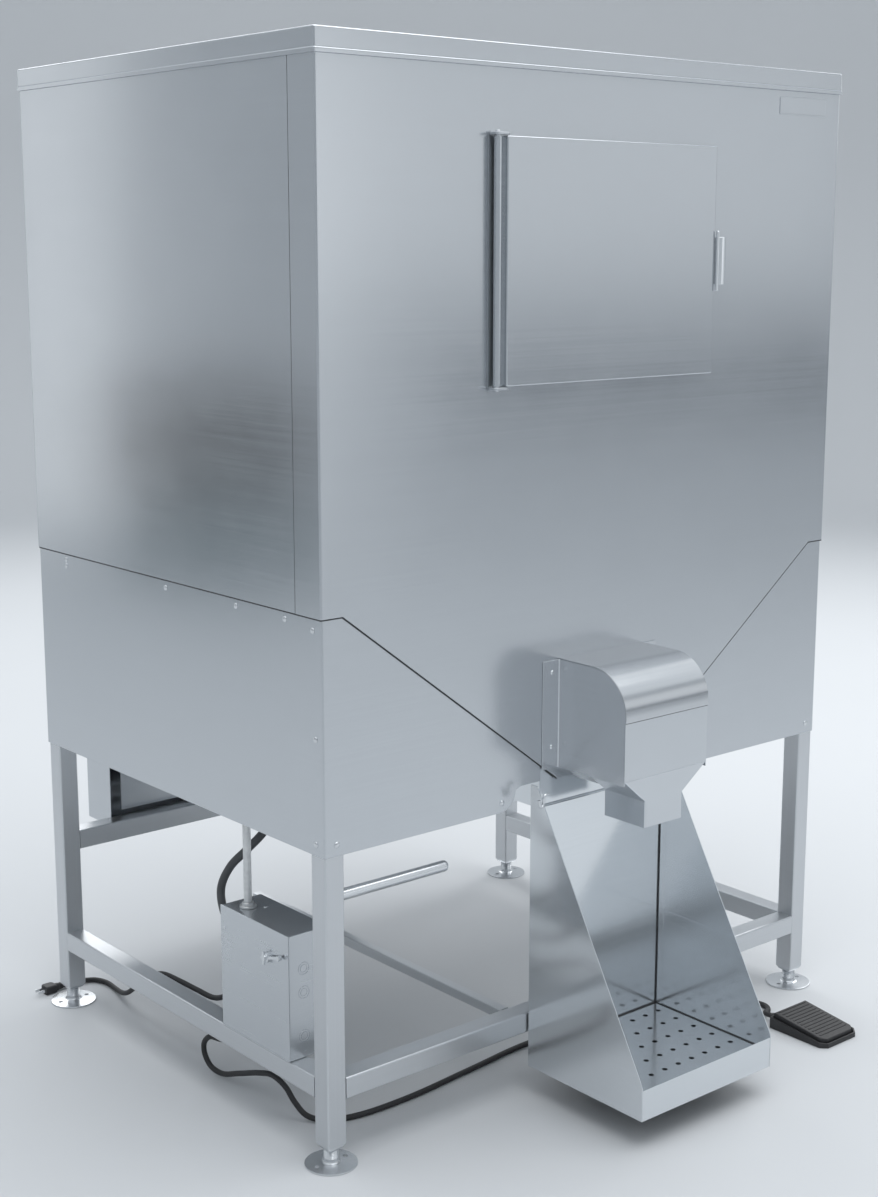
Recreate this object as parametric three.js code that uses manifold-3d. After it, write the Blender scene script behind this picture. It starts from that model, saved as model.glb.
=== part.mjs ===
// Commercial ice storage bin with a bottom screw discharge, bagging chute, bag stand and foot switch.
// Millimetres, +X to the right along the front, +Y to the back, +Z up.
// Pieces are laid out from the lid's front left corner at floor level; the exported group moves that
// layout so that its origin is under the middle of the machine.
import * as THREE from "three";
import { mergeVertices } from "three/addons/utils/BufferGeometryUtils.js";
import Module from "manifold-3d";

const wasm = await Module();
wasm.setup();

// Driving dimensions.
const WIDTH = 1219.2;
const DEPTH = 914.4;
const HEIGHT = 1797;
const SHEET = 1.5;
const GAP = 0.3;
const CENTRE = WIDTH / 2;

// Setbacks from the lid's edge: upper skins, lower skirts, frame tubes.
const SKIN_IN = 3.4;
const SKIRT_IN = 5.4;
const FRAME_IN = 7.2;
const LID_SKIRT = 38;
const LAP_Y = 71;

// The funnel-shaped underside, as seen from the front.
const WAIST = 919.5;
const SLOPE_START = 45;
const SLOPE_END = 510;
const V_FLOOR = 571;
const SKIRT_BOTTOM = 534;
const SUMP_HALF = 140;
const SUMP_BOTTOM = 523;

// Frame.
const TUBE = 38.1;
const TUBE_WALL = 2.1;
const RAIL_Z = 114;
const LEG_BOTTOM = 36;
const REAR_RAIL_Z = 317;
const MIDDLE_TUBE = 19;
const FOOT_RADIUS = 44.45;
const STEM_RADIUS = 12.7;

// Tank, trough and screw.
const LINER_IN = 55;
const TROUGH_R = 97;
const AUGER_Z = 648.5;
const FLIGHT_R = 88;
const FLIGHT_PITCH = 170;
const SHAFT_R = 16;
const TANK_TOP = HEIGHT - SHEET - 1;

// Door, outlet chute and bag stand.
const DOOR = { x0: 362, x1: 855, z0: 1260, z1: 1654, front: -19, back: -5 };
const NECK = { x0: 388, x1: 829, z0: 1286, z1: 1628 };
const HINGE = { x: 350, y: -9 };
const OUTLET_TOP = 760;
const CHUTE_HALF = 101.5;
const CHUTE_FRONT = -159;
const CHUTE_TOP = 785;
const CHUTE_BOTTOM = 597;
const HOOD_LIP = 702;
const SPOUT = { half: 46, y0: -155, y1: -58, top: 555, bottom: 508 };
const STAND_HALF = 163.6;
const STAND_FRONT = -274.5;
const STAND_BOTTOM = 52;
const STAND_TOP = 572;
const BAG_FLOOR_Z = 82;

// Drive at the back, control box, foot switch and cords.
const GUARD = { x0: 139.5, x1: 724, y0: 913.5, y1: 1005, z0: 331, z1: 745 };
const BOX = { x0: 8.5, x1: 90, y0: 111, y1: 311, z0: RAIL_Z + TUBE + GAP, z1: 372 };
const PEDAL = { x0: 990, x1: 1095, y0: -227, y1: -95, back: 33, front: 15, base: 24 };
const FOOT_CORD_D = 10;
const POWER_CORD_D = 10;
const CONDUIT_D = 15;
const PIPE_R = 7;

// ---- Finishes ----

function finish(color, roughness, metalness) {
  return new THREE.MeshStandardMaterial({ color, roughness, metalness });
}

const stainless = finish(0xb4babf, 0.32, 0.95);
const brightSteel = finish(0xd3d7da, 0.2, 1);
const galvanised = finish(0xc3c7c8, 0.4, 0.9);
const foam = finish(0xe6d9a8, 0.9, 0);
const whitePlastic = finish(0xe3e4e2, 0.5, 0);
const blackPlastic = finish(0x232425, 0.5, 0);
const blackRubber = finish(0x1b1b1c, 0.75, 0);
const greyRubber = finish(0x5c5f61, 0.75, 0);
const motorPaint = finish(0x33474f, 0.5, 0.2);
const castAluminium = finish(0x9fa3a5, 0.5, 0.85);

// ---- Solid helpers ----

function solid(geometry) {
  const bare = geometry.index ? geometry.toNonIndexed() : geometry;
  const positions = new THREE.BufferGeometry().setAttribute("position", bare.getAttribute("position"));
  const merged = mergeVertices(positions, 1e-4);
  return new wasm.Manifold(
    new wasm.Mesh({
      numProp: 3,
      vertProperties: merged.attributes.position.array,
      triVerts: new Uint32Array(merged.index.array),
    }),
  );
}

function geometryOf(manifold) {
  const mesh = manifold.getMesh();
  const positions = new Float32Array(mesh.numVert * 3);
  for (let i = 0; i < mesh.numVert; i++) {
    positions.set(mesh.vertProperties.subarray(i * mesh.numProp, i * mesh.numProp + 3), i * 3);
  }
  const geometry = new THREE.BufferGeometry();
  geometry.setAttribute("position", new THREE.BufferAttribute(positions, 3));
  geometry.setIndex(new THREE.BufferAttribute(mesh.triVerts, 1));
  geometry.computeVertexNormals();
  return geometry;
}

const machine = new THREE.Group();

function add(name, shape, material, position = [0, 0, 0]) {
  const geometry = shape.isBufferGeometry ? shape : geometryOf(shape);
  const mesh = new THREE.Mesh(geometry, material);
  mesh.name = name;
  mesh.position.set(...position);
  machine.add(mesh);
  return mesh;
}

function join(...shapes) {
  return shapes.reduce((whole, shape) => whole.add(shape));
}

function block(x0, x1, y0, y1, z0, z1) {
  const geometry = new THREE.BoxGeometry(x1 - x0, y1 - y0, z1 - z0);
  geometry.translate((x0 + x1) / 2, (y0 + y1) / 2, (z0 + z1) / 2);
  return solid(geometry);
}

// A closed outline from its corner points, with any holes.
function outline(points, ...holes) {
  const shape = new THREE.Shape(points.map(([u, v]) => new THREE.Vector2(u, v)));
  holes.forEach((hole) => shape.holes.push(new THREE.Path(hole.map(([u, v]) => new THREE.Vector2(u, v)))));
  return shape;
}

function rectangle(u0, u1, v0, v1) {
  return [[u0, v0], [u1, v0], [u1, v1], [u0, v1]];
}

function roundedRectangle(u0, u1, v0, v1, radius, steps = 3) {
  const corners = [[u1 - radius, v0 + radius, -90], [u1 - radius, v1 - radius, 0],
    [u0 + radius, v1 - radius, 90], [u0 + radius, v0 + radius, 180]];
  return corners.flatMap(([u, v, start]) => arc(u, v, radius, start, start + 90, steps));
}

function arc(u, v, radius, from, to, steps) {
  return Array.from({ length: steps + 1 }, (_, i) => {
    const angle = THREE.MathUtils.degToRad(from + ((to - from) * i) / steps);
    return [u + radius * Math.cos(angle), v + radius * Math.sin(angle)];
  });
}

const circle = (u, v, radius, steps) => arc(u, v, radius, 0, 360, steps).slice(0, -1);

function extruded(shape, depth) {
  return new THREE.ExtrudeGeometry(shape, { depth, bevelEnabled: false, curveSegments: 8 });
}

// An outline in (x, z) drawn out along Y, in (y, z) along X, and in (x, y) along Z.
const alongY = (shape, y0, y1) => solid(extruded(shape, y1 - y0).rotateX(Math.PI / 2).translate(0, y1, 0));
const alongZ = (shape, z0, z1) => solid(extruded(shape, z1 - z0).translate(0, 0, z0));
function alongX(shape, x0, x1) {
  const turn = new THREE.Matrix4().makeBasis(
    new THREE.Vector3(0, 1, 0), new THREE.Vector3(0, 0, 1), new THREE.Vector3(1, 0, 0));
  return solid(extruded(shape, x1 - x0).applyMatrix4(turn).translate(x0, 0, 0));
}

// A bent strip of sheet: the path's points on one side, and the same path moved over on the other.
function bentSheet(points, thickness) {
  const moved = points.map((point, i) => {
    const before = points[Math.max(i - 1, 0)];
    const after = points[Math.min(i + 1, points.length - 1)];
    const first = i > 0 ? normal(before, point) : normal(point, after);
    const second = i < points.length - 1 ? normal(point, after) : first;
    const middle = [first[0] + second[0], first[1] + second[1]];
    const scale = (2 * thickness) / (middle[0] ** 2 + middle[1] ** 2);
    return [point[0] + middle[0] * scale, point[1] + middle[1] * scale];
  });
  return outline([...points, ...moved.reverse()]);
}

function normal([u0, v0], [u1, v1]) {
  const length = Math.hypot(u1 - u0, v1 - v0);
  return [-(v1 - v0) / length, (u1 - u0) / length];
}

// A round bar, tube or stepped turning about an upright axis, from [radius, z] profile points.
function turned(profile, steps = 24) {
  const points = profile.map(([radius, z]) => new THREE.Vector2(radius, z));
  return solid(new THREE.LatheGeometry(points, steps).rotateX(Math.PI / 2));
}

function pin(radius, length, steps = 20) {
  return turned([[0, 0], [radius, 0], [radius, length], [0, length]], steps);
}

const upY = (shape) => shape.rotate([-90, 0, 0]);
const upX = (shape) => shape.rotate([0, 90, 0]);

// A tube along a smooth curve through the points.
function cordAlong(points, diameter, stepCount, sides = 8) {
  const curve = new THREE.CatmullRomCurve3(points.map((p) => new THREE.Vector3(...p)), false, "centripetal");
  const section = outline(circle(0, 0, diameter / 2, sides));
  const options = { steps: stepCount, extrudePath: curve, bevelEnabled: false };
  return solid(new THREE.ExtrudeGeometry(section, options));
}

// ---- Insulated cabinet ----

// The front or back view of the cabinet's body with its funnel-shaped bottom.
function cabinetOutline(inset, top, waist, floorZ) {
  return [
    [inset, top], [inset, waist], [SLOPE_START, waist], [SLOPE_END, floorZ],
    [WIDTH - SLOPE_END, floorZ], [WIDTH - SLOPE_START, waist], [WIDTH - inset, waist], [WIDTH - inset, top],
  ];
}

// The hole that lets the ice out: a half round trough with straight sides above it.
function outletOutline(radius, top) {
  return [...arc(CENTRE, AUGER_Z, radius, 180, 360, 20), [CENTRE + radius, top], [CENTRE - radius, top]];
}

function makeSkins() {
  const top = HEIGHT - SHEET - GAP;
  const neck = rectangle(NECK.x0, NECK.x1, NECK.z0, NECK.z1);
  const face = alongY(outline(cabinetOutline(SKIN_IN, top, WAIST, V_FLOOR), neck), SKIN_IN, SKIN_IN + SHEET)
    .subtract(alongY(outline(outletOutline(TROUGH_R + 2, OUTLET_TOP)), 0, 10));
  const returnOut = SKIN_IN - 0.7;
  const leftReturn = block(returnOut, returnOut + SHEET, SKIN_IN, LAP_Y, WAIST, top);
  const rightReturn = block(WIDTH - returnOut - SHEET, WIDTH - returnOut, SKIN_IN, LAP_Y, WAIST, top);
  add("front_skin", join(face, leftReturn, rightReturn), stainless);

  const backEdge = DEPTH - SKIN_IN;
  const side = outline(rectangle(LAP_Y + GAP, backEdge - SHEET - GAP, WAIST, top));
  add("left_skin", alongX(side, SKIN_IN, SKIN_IN + SHEET), stainless);
  add("right_skin", alongX(side, WIDTH - SKIN_IN - SHEET, WIDTH - SKIN_IN), stainless);

  const shaftHole = circle(CENTRE, AUGER_Z, SHAFT_R + 6, 20);
  const back = outline(cabinetOutline(SKIN_IN, top, WAIST, V_FLOOR), shaftHole);
  add("back_skin", alongY(back, backEdge - SHEET, backEdge), stainless);
}

// Lower corner skirts: one bent sheet round each front corner, with a round lower corner by the bag stand.
function makeSkirts() {
  const tuck = 14;
  const inner = 424;
  const radius = 34;
  const sideEnd = DEPTH - SKIRT_IN;
  const front = [
    [SKIRT_IN, SKIRT_BOTTOM], ...arc(inner - 12 - radius, SKIRT_BOTTOM + radius, radius, -90, 0, 5),
    [inner, V_FLOOR + 2], [SLOPE_END - 40, V_FLOOR + 2], [SLOPE_END - 40, V_FLOOR + 30 + tuck],
    [SLOPE_START, WAIST + tuck], [SKIRT_IN, WAIST + tuck],
  ];
  const left = join(
    alongY(outline(front), SKIRT_IN, SKIRT_IN + SHEET),
    block(SKIRT_IN, SKIRT_IN + SHEET, SKIRT_IN, sideEnd, SKIRT_BOTTOM, WAIST + tuck),
  );
  add("skirt_left", left, stainless);
  add("skirt_right", left.mirror([1, 0, 0]).translate([WIDTH, 0, 0]), stainless);
}

// The sheet under the funnel, with the sump that hangs below the trough and its front end plate.
function makeHopperPan() {
  const sump0 = CENTRE - SUMP_HALF;
  const sump1 = CENTRE + SUMP_HALF;
  const slopeAt = (x) => WAIST - ((x - SLOPE_START) * (WAIST - V_FLOOR)) / (SLOPE_END - SLOPE_START);
  const path = [
    [FRAME_IN + GAP, WAIST], [SLOPE_START, WAIST], [sump0, slopeAt(sump0)], [sump0, SUMP_BOTTOM],
    [sump1, SUMP_BOTTOM], [sump1, slopeAt(sump0)],
    [WIDTH - SLOPE_START, WAIST], [WIDTH - FRAME_IN - GAP, WAIST],
  ];
  const endPlate = outline(rectangle(sump0, sump1, SUMP_BOTTOM, slopeAt(sump0)));
  const troughHole = alongY(outline(outletOutline(TROUGH_R + SHEET + GAP, OUTLET_TOP)), 0, 20);
  const pan = join(
    alongY(bentSheet(path, SHEET), FRAME_IN + GAP, DEPTH - FRAME_IN),
    alongY(endPlate, 8.5, 8.5 + SHEET).subtract(troughHole),
  );
  add("hopper_pan", pan, stainless);
}

function makeLid() {
  const bottom = HEIGHT - LID_SKIRT;
  const shell = block(0, WIDTH, 0, DEPTH, bottom, HEIGHT)
    .subtract(block(SHEET, WIDTH - SHEET, SHEET, DEPTH - SHEET, bottom - 1, HEIGHT - SHEET))
    .subtract(block(360, WIDTH - 360, 250, 664, bottom, HEIGHT + 1));
  add("lid", shell, stainless);

  const cover = join(
    block(346, WIDTH - 346, 236, 678, HEIGHT + GAP, HEIGHT + GAP + SHEET),
    block(362, WIDTH - 362, 252, 662, HEIGHT - 14, HEIGHT + GAP),
  ).subtract(block(362 + SHEET, WIDTH - 362 - SHEET, 252 + SHEET, 662 - SHEET, HEIGHT - 15, HEIGHT + GAP));
  add("inlet_cover", cover, stainless);
}

// Height of the tank's sloping floor above x, or of the same slope moved out by grow.
function floorHeight(x, grow) {
  const slope = (WAIST - V_FLOOR) / (SLOPE_END - SLOPE_START);
  const foot = CENTRE - TROUGH_R - SHEET - 2;
  return AUGER_Z + 4 + (foot - x) * slope - grow * Math.hypot(1, slope);
}

// The tank's inside outline in (x, z), with its funnel and the trough's half round at the bottom.
function tankOutline(grow, top) {
  const edge = LINER_IN + SHEET - grow;
  const troughEdge = CENTRE - TROUGH_R - grow;
  return [
    [edge, top], [edge, floorHeight(edge, grow)], [troughEdge, floorHeight(troughEdge, grow)],
    ...arc(CENTRE, AUGER_Z, TROUGH_R + grow, 180, 360, 20),
    [WIDTH - troughEdge, floorHeight(troughEdge, grow)],
    [WIDTH - edge, floorHeight(edge, grow)], [WIDTH - edge, top],
  ];
}

function makeInsulation() {
  const core0 = FRAME_IN + GAP;
  const path = cabinetOutline(core0, TANK_TOP, WAIST + 2.4, V_FLOOR + 2.4);
  const foamBody = join(
    alongY(outline(path), 12, DEPTH - FRAME_IN - 3),
    block(CENTRE - SUMP_HALF + 2, CENTRE + SUMP_HALF - 2, 12, DEPTH - 20, SUMP_BOTTOM + 2, V_FLOOR + 20),
  );
  const grow = SHEET + 0.6;
  const tank = alongY(outline(tankOutline(grow, HEIGHT)), LINER_IN - 2, DEPTH - LINER_IN + 2);
  const outlet = alongY(outline(outletOutline(TROUGH_R + grow, OUTLET_TOP + 2)), 0, LINER_IN + 2);
  const neck = block(NECK.x0 - 0.4, NECK.x1 + 0.4, 0, LINER_IN + 2, NECK.z0 - 0.4, NECK.z1 + 0.4);
  const bearing = upY(pin(36, 100)).translate([CENTRE, DEPTH - 80, AUGER_Z]);
  add("insulation", foamBody.subtract(tank).subtract(outlet).subtract(neck).subtract(bearing), foam);
}

function makeTank() {
  const inner = LINER_IN + SHEET;
  const foot = CENTRE - TROUGH_R - SHEET - 2;
  const path = [[foot, floorHeight(foot, 0)], [inner, floorHeight(inner, 0)], [inner, TANK_TOP]];
  const left = alongY(bentSheet(path, SHEET), LINER_IN + GAP + SHEET, DEPTH - LINER_IN - SHEET - GAP);
  add("liner_left", left, stainless);
  add("liner_right", left.mirror([1, 0, 0]).translate([WIDTH, 0, 0]), stainless);

  const wall = tankOutline(SHEET, TANK_TOP);
  const neck = rectangle(NECK.x0, NECK.x1, NECK.z0, NECK.z1);
  const front = alongY(outline(wall, neck), LINER_IN, LINER_IN + SHEET)
    .subtract(alongY(outline(outletOutline(TROUGH_R + SHEET + GAP, OUTLET_TOP)), 0, 100));
  add("liner_front", front, stainless);
  const back = outline(wall, circle(CENTRE, AUGER_Z, SHAFT_R + 2, 20));
  add("liner_back", alongY(back, DEPTH - LINER_IN - SHEET, DEPTH - LINER_IN), stainless);
}

// The half round trough, running on through the front wall as the throat, with its tunnel roof there.
function makeTrough() {
  const inside = arc(CENTRE, AUGER_Z, TROUGH_R, 180, 360, 20);
  const outside = arc(CENTRE, AUGER_Z, TROUGH_R + SHEET, 360, 180, 20);
  const halfRound = alongY(outline([...inside, ...outside]), SPOUT.y1 - 4, DEPTH - LINER_IN - SHEET - GAP);
  const roofTop = OUTLET_TOP - GAP;
  const [left, right] = [CENTRE - TROUGH_R, CENTRE + TROUGH_R];
  const tunnel = [
    [left - SHEET, AUGER_Z], [left, AUGER_Z], [left, roofTop - SHEET], [right, roofTop - SHEET],
    [right, AUGER_Z], [right + SHEET, AUGER_Z], [right + SHEET, roofTop], [left - SHEET, roofTop],
  ];
  add("auger_trough", join(halfRound, alongY(outline(tunnel), SKIN_IN, LINER_IN + SHEET)), stainless);
}

// A screw flight: a flat ribbon that winds round the shaft, closed with its two faces and two edges.
// Its front and rear faces are split along the same diagonals, so the ribbon is equally thick all along.
function flight(length, radius, inner, pitch, thickness) {
  const stepsPerTurn = 24;
  const steps = Math.round((length / pitch) * stepsPerTurn);
  const positions = [];
  const index = [];
  for (let i = 0; i <= steps; i++) {
    const angle = (i / stepsPerTurn) * 2 * Math.PI;
    const y = (i / steps) * length;
    for (const [r, dy] of [[inner, 0], [radius, 0], [radius, thickness], [inner, thickness]]) {
      positions.push(r * Math.cos(angle), y + dy, r * Math.sin(angle));
    }
  }
  for (let i = 0; i < steps; i++) {
    for (let k = 0; k < 4; k++) {
      const a = i * 4 + k;
      const b = i * 4 + ((k + 1) % 4);
      if (k === 2) {
        index.push(a, b, b + 4, a, b + 4, a + 4);
      } else {
        index.push(a, b, a + 4, b, b + 4, a + 4);
      }
    }
  }
  const last = steps * 4;
  index.push(0, 2, 1, 0, 3, 2, last, last + 1, last + 2, last, last + 2, last + 3);
  const geometry = new THREE.BufferGeometry();
  geometry.setAttribute("position", new THREE.Float32BufferAttribute(positions, 3));
  geometry.setIndex(index);
  return solid(geometry);
}

function makeAuger() {
  const start = SPOUT.y1 + 10;
  const end = DEPTH - LINER_IN - 16;
  const shaft = upY(pin(SHAFT_R, 970 - start)).translate([CENTRE, start, AUGER_Z]);
  const screw = flight(end - start - 10, FLIGHT_R, SHAFT_R - 1, FLIGHT_PITCH, 3);
  add("auger", join(shaft, screw.translate([CENTRE, start + 4, AUGER_Z])), brightSteel);

  const housing = turned([[SHAFT_R + 0.5, 0], [34, 0], [34, 40], [SHAFT_R + 0.5, 40], [SHAFT_R + 0.5, 0]]);
  add("auger_bearing", upY(housing), castAluminium, [CENTRE, DEPTH - LINER_IN + 2, AUGER_Z]);
}

function makeDoor() {
  const neckGap = 0.5;
  const ring = outline(
    rectangle(NECK.x0 + neckGap, NECK.x1 - neckGap, NECK.z0 + neckGap, NECK.z1 - neckGap),
    rectangle(NECK.x0 + 4, NECK.x1 - 4, NECK.z0 + 4, NECK.z1 - 4),
  );
  add("door_throat", alongY(ring, SKIN_IN, LINER_IN + SHEET), whitePlastic);

  const { x0, x1, z0, z1, front, back } = DOOR;
  const pan = block(x0, x1, front, back, z0, z1)
    .subtract(block(x0 + SHEET, x1 - SHEET, front + SHEET, back + 1, z0 + SHEET, z1 - SHEET));
  const curl = turned([[4.6, 0], [6.6, 0], [6.6, z1 - z0 - 2], [4.6, z1 - z0 - 2], [4.6, 0]], 16)
    .translate([HINGE.x, HINGE.y, z0 + 1]);
  const web = block(HINGE.x + 5.4, x0 + 1, HINGE.y - 1, HINGE.y + 1, z0 + 1, z1 - 1);
  add("door_panel", join(pan, curl, web), stainless);
  const inset = SHEET + 0.4;
  const core = block(x0 + inset, x1 - inset, front + inset, back - GAP, z0 + inset, z1 - inset);
  add("door_core", core, whitePlastic);

  const edge = (by) => rectangle(x0 + by, x1 - by, z0 + by, z1 - by);
  add("door_gasket", alongY(outline(edge(6), edge(22)), back, SKIN_IN - GAP), greyRubber);
}

function makeHinge() {
  const { z0, z1 } = DOOR;
  add("hinge_rod", pin(4.2, z1 - z0 + 16, 16), brightSteel, [HINGE.x, HINGE.y, z0 - 8]);
  const plate = rectangle(HINGE.x - 11, HINGE.x + 20, HINGE.y - 9, SKIN_IN - GAP - 1);
  const ear = outline(plate, circle(HINGE.x, HINGE.y, 4.6, 16));
  const bracket = join(
    alongZ(ear, z0 - 5, z0 - 1),
    alongZ(ear, z1 + 1, z1 + 5),
    block(HINGE.x - 11, HINGE.x + 8, SKIN_IN - GAP - 1.2, SKIN_IN - GAP, z0 - 5, z1 + 5),
  );
  add("hinge_bracket", bracket, stainless);
}

// A paddle that turns on an upright pin at the door's free edge, and the keeper it pulls away from.
function makeLatch() {
  const bottom = 1416;
  const top = 1498;
  const grip = outline([...arc(868.5, -14.5, 13, 180, 360, 8), ...arc(868.5, -14.5, 10.4, 360, 180, 8)]);
  const latch = join(
    alongZ(grip, bottom, top),
    pin(3, 104, 12).translate([857.5, -22.5, bottom - 11]),
    block(855.4, 859.5, -24, -14.5, bottom, top),
  );
  add("door_latch", latch, brightSteel);
  add("door_strike", block(863, 877, -9, SKIN_IN - GAP, 1440, 1474), brightSteel);
}

// ---- Outlet chute ----

// The side view of the hood: flat top, a quarter round shoulder and a straight front.
function hoodSide(grow) {
  const radius = 76 + grow;
  return [
    [SKIN_IN - GAP, CHUTE_TOP + grow],
    ...arc(CHUTE_FRONT + 76, CHUTE_TOP - 76, radius, 90, 180, 8),
  ];
}

function taper(rectLow, rectHigh, z0, z1) {
  const geometry = new THREE.BoxGeometry(1, 1, 1);
  const position = geometry.getAttribute("position");
  for (let i = 0; i < position.count; i++) {
    const rect = position.getZ(i) > 0 ? rectHigh : rectLow;
    const x = position.getX(i) > 0 ? rect[1] : rect[0];
    const y = position.getY(i) > 0 ? rect[3] : rect[2];
    position.setXYZ(i, x, y, position.getZ(i) > 0 ? z1 : z0);
  }
  return solid(geometry);
}

function chuteVolume(shrink) {
  const half = CHUTE_HALF - shrink;
  const wide = [CENTRE - half, CENTRE + half, CHUTE_FRONT + shrink, SPOUT.y1 - 5 - shrink];
  const spoutHalf = SPOUT.half - shrink;
  const narrow = [CENTRE - spoutHalf, CENTRE + spoutHalf, SPOUT.y0 + shrink, SPOUT.y1 - shrink];
  return join(
    taper(narrow, wide, SPOUT.top, CHUTE_BOTTOM + 3),
    taper(narrow, narrow, SPOUT.bottom - (shrink ? 1 : 0), SPOUT.top),
  );
}

function makeChute() {
  const back = SKIN_IN - GAP;
  const left = CENTRE - CHUTE_HALF;
  const right = CENTRE + CHUTE_HALF;
  const side = outline([...hoodSide(-GAP), [CHUTE_FRONT, CHUTE_BOTTOM], [back, CHUTE_BOTTOM - 5]]);
  const cheeks = join(alongX(side, left, left + SHEET), alongX(side, right - SHEET, right));
  const frontPlate = block(left, right, CHUTE_FRONT, CHUTE_FRONT + SHEET, CHUTE_BOTTOM, HOOD_LIP + 6);
  const flange = (x0, x1) => block(x0, x1, back - SHEET, back, CHUTE_BOTTOM - 5, CHUTE_TOP - GAP);
  const spout = chuteVolume(0).subtract(chuteVolume(SHEET))
    .subtract(block(left + SHEET, right - SHEET, CHUTE_FRONT + SHEET, 0, CHUTE_BOTTOM - 1, CHUTE_BOTTOM + 9))
    .subtract(alongY(outline(circle(CENTRE, AUGER_Z, TROUGH_R + SHEET + 1, 40)), -100, 0));
  const flanges = join(flange(left - 38, left + SHEET), flange(right - SHEET, right + 38));
  add("chute_body", join(cheeks, frontPlate, spout, flanges), stainless);

  const strip = outline([...hoodSide(SHEET), [CHUTE_FRONT - SHEET, HOOD_LIP], [CHUTE_FRONT - GAP, HOOD_LIP],
    ...hoodSide(GAP).reverse()]);
  add("chute_hood", alongX(strip, left, right), stainless);
}

// ---- Bag stand ----

function makeBagStand() {
  const back = 4;
  const left = CENTRE - STAND_HALF;
  const right = CENTRE + STAND_HALF;
  const profile = outline([
    [back, STAND_BOTTOM], [back, STAND_TOP], [-12, STAND_TOP],
    [-270, 120], [STAND_FRONT, 110], [STAND_FRONT, STAND_BOTTOM],
  ]);
  add("bag_stand_left", alongX(profile, left, left + SHEET), stainless);
  add("bag_stand_right", alongX(profile, right - SHEET, right), stainless);
  const inLeft = left + SHEET + GAP;
  const inRight = right - SHEET - GAP;
  const backTop = V_FLOOR - 45;
  add("bag_stand_back", block(inLeft, inRight, back - 2, back, STAND_BOTTOM, backTop), stainless);
  const panBack = 2 - GAP;
  const tray = join(
    block(inLeft, inRight, STAND_FRONT, 0.2 + GAP, BAG_FLOOR_Z - SHEET, BAG_FLOOR_Z),
    block(inLeft, inRight, STAND_FRONT, STAND_FRONT + SHEET, STAND_BOTTOM, 107),
    block(inLeft, inRight, STAND_FRONT, panBack, STAND_BOTTOM, STAND_BOTTOM + SHEET),
  );
  add("bag_floor", tray, stainless);

  const hookBend = [[GAP, 562], [14, 562], [22, 566], [24, 576]];
  for (const [name, x, turn] of [["bag_hook_left", left, -1], ["bag_hook_right", right, 1]]) {
    const route = hookBend.map(([out, z]) => [x + turn * out, -40, z]);
    add(name, cordAlong(route, 6, 10), brightSteel);
  }
}

// ---- Frame ----

function tubeSection(u0, u1, v0, v1, wall) {
  const bore = roundedRectangle(u0 + wall, u1 - wall, v0 + wall, v1 - wall, 2);
  return outline(roundedRectangle(u0, u1, v0, v1, 4), bore.reverse());
}

// Square tube leg with a chamfered end plug, bored for the foot's screw.
function leg() {
  const half = TUBE / 2;
  const tube = alongZ(tubeSection(-half, half, -half, half, TUBE_WALL), LEG_BOTTOM, WAIST - 1);
  const inner = half - TUBE_WALL + 0.05;
  const [tip, shoulder] = [14.5, half - 1];
  const plug = join(
    block(-inner, inner, -inner, inner, LEG_BOTTOM, LEG_BOTTOM + 50),
    taper([-tip, tip, -tip, tip], [-shoulder, shoulder, -shoulder, shoulder], LEG_BOTTOM - 6, LEG_BOTTOM),
  );
  return join(tube, plug).subtract(pin(STEM_RADIUS + 0.5, 200, 20));
}

function foot() {
  const stemTop = LEG_BOTTOM + 44;
  const profile = [
    [0, 0], [FOOT_RADIUS, 0], [FOOT_RADIUS, 2.4], [FOOT_RADIUS - 1.4, 3.2],
    [STEM_RADIUS + 3, 4], [STEM_RADIUS, 7], [STEM_RADIUS, stemTop], [0, stemTop],
  ];
  const bolt = (x) => pin(4.2, 12, 12).translate([x, 0, -1]);
  return turned(profile, 32).subtract(bolt(-29)).subtract(bolt(29));
}

function makeFrame() {
  const near = FRAME_IN + TUBE / 2;
  const places = { front_left: [near, near], front_right: [WIDTH - near, near],
    back_left: [near, DEPTH - near], back_right: [WIDTH - near, DEPTH - near] };
  for (const [name, [x, y]] of Object.entries(places)) {
    add("leg_" + name, leg(), stainless, [x, y, 0]);
    add("foot_" + name, foot(), stainless, [x, y, 0]);
  }
  const from = FRAME_IN + TUBE + GAP;
  const z1 = RAIL_Z + TUBE;
  const squareTube = (u, v) => tubeSection(u, u + TUBE, v, v + TUBE, TUBE_WALL);
  const across = (y, z) => alongX(squareTube(y, z), from, WIDTH - from);
  const deep = (x) => alongY(squareTube(x, RAIL_Z), from, DEPTH - from);
  add("rail_left", deep(FRAME_IN), stainless);
  add("rail_right", deep(WIDTH - FRAME_IN - TUBE), stainless);
  add("rail_front", across(FRAME_IN, RAIL_Z), stainless);
  add("rail_rear", across(DEPTH - FRAME_IN - TUBE, REAR_RAIL_Z), stainless);

  // The light middle rail stands on a post of its own at its back end.
  const x0 = 416;
  const x1 = x0 + MIDDLE_TUBE;
  const backEnd = 820;
  const run = alongY(tubeSection(x0, x1, z1 - MIDDLE_TUBE, z1, 1.5), from, backEnd);
  const post = block(x0 + 0.5, x1 - 0.5, backEnd - MIDDLE_TUBE, backEnd, 12, z1 - 1);
  const pad = turned([[0, 0], [11, 0], [13, 3], [13, 12], [0, 12]], 16)
    .translate([x0 + MIDDLE_TUBE / 2, backEnd - MIDDLE_TUBE / 2, 0]);
  add("rail_middle", join(run, post, pad), stainless);

  const rod = turned([[0, 0], [9.7, 0], [9.7, 222], [7, 228], [0, 229]], 16);
  add("bag_roll_rod", upX(rod), brightSteel, [FRAME_IN + TUBE + GAP, near, 459]);
}

// ---- Drive at the back ----

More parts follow.
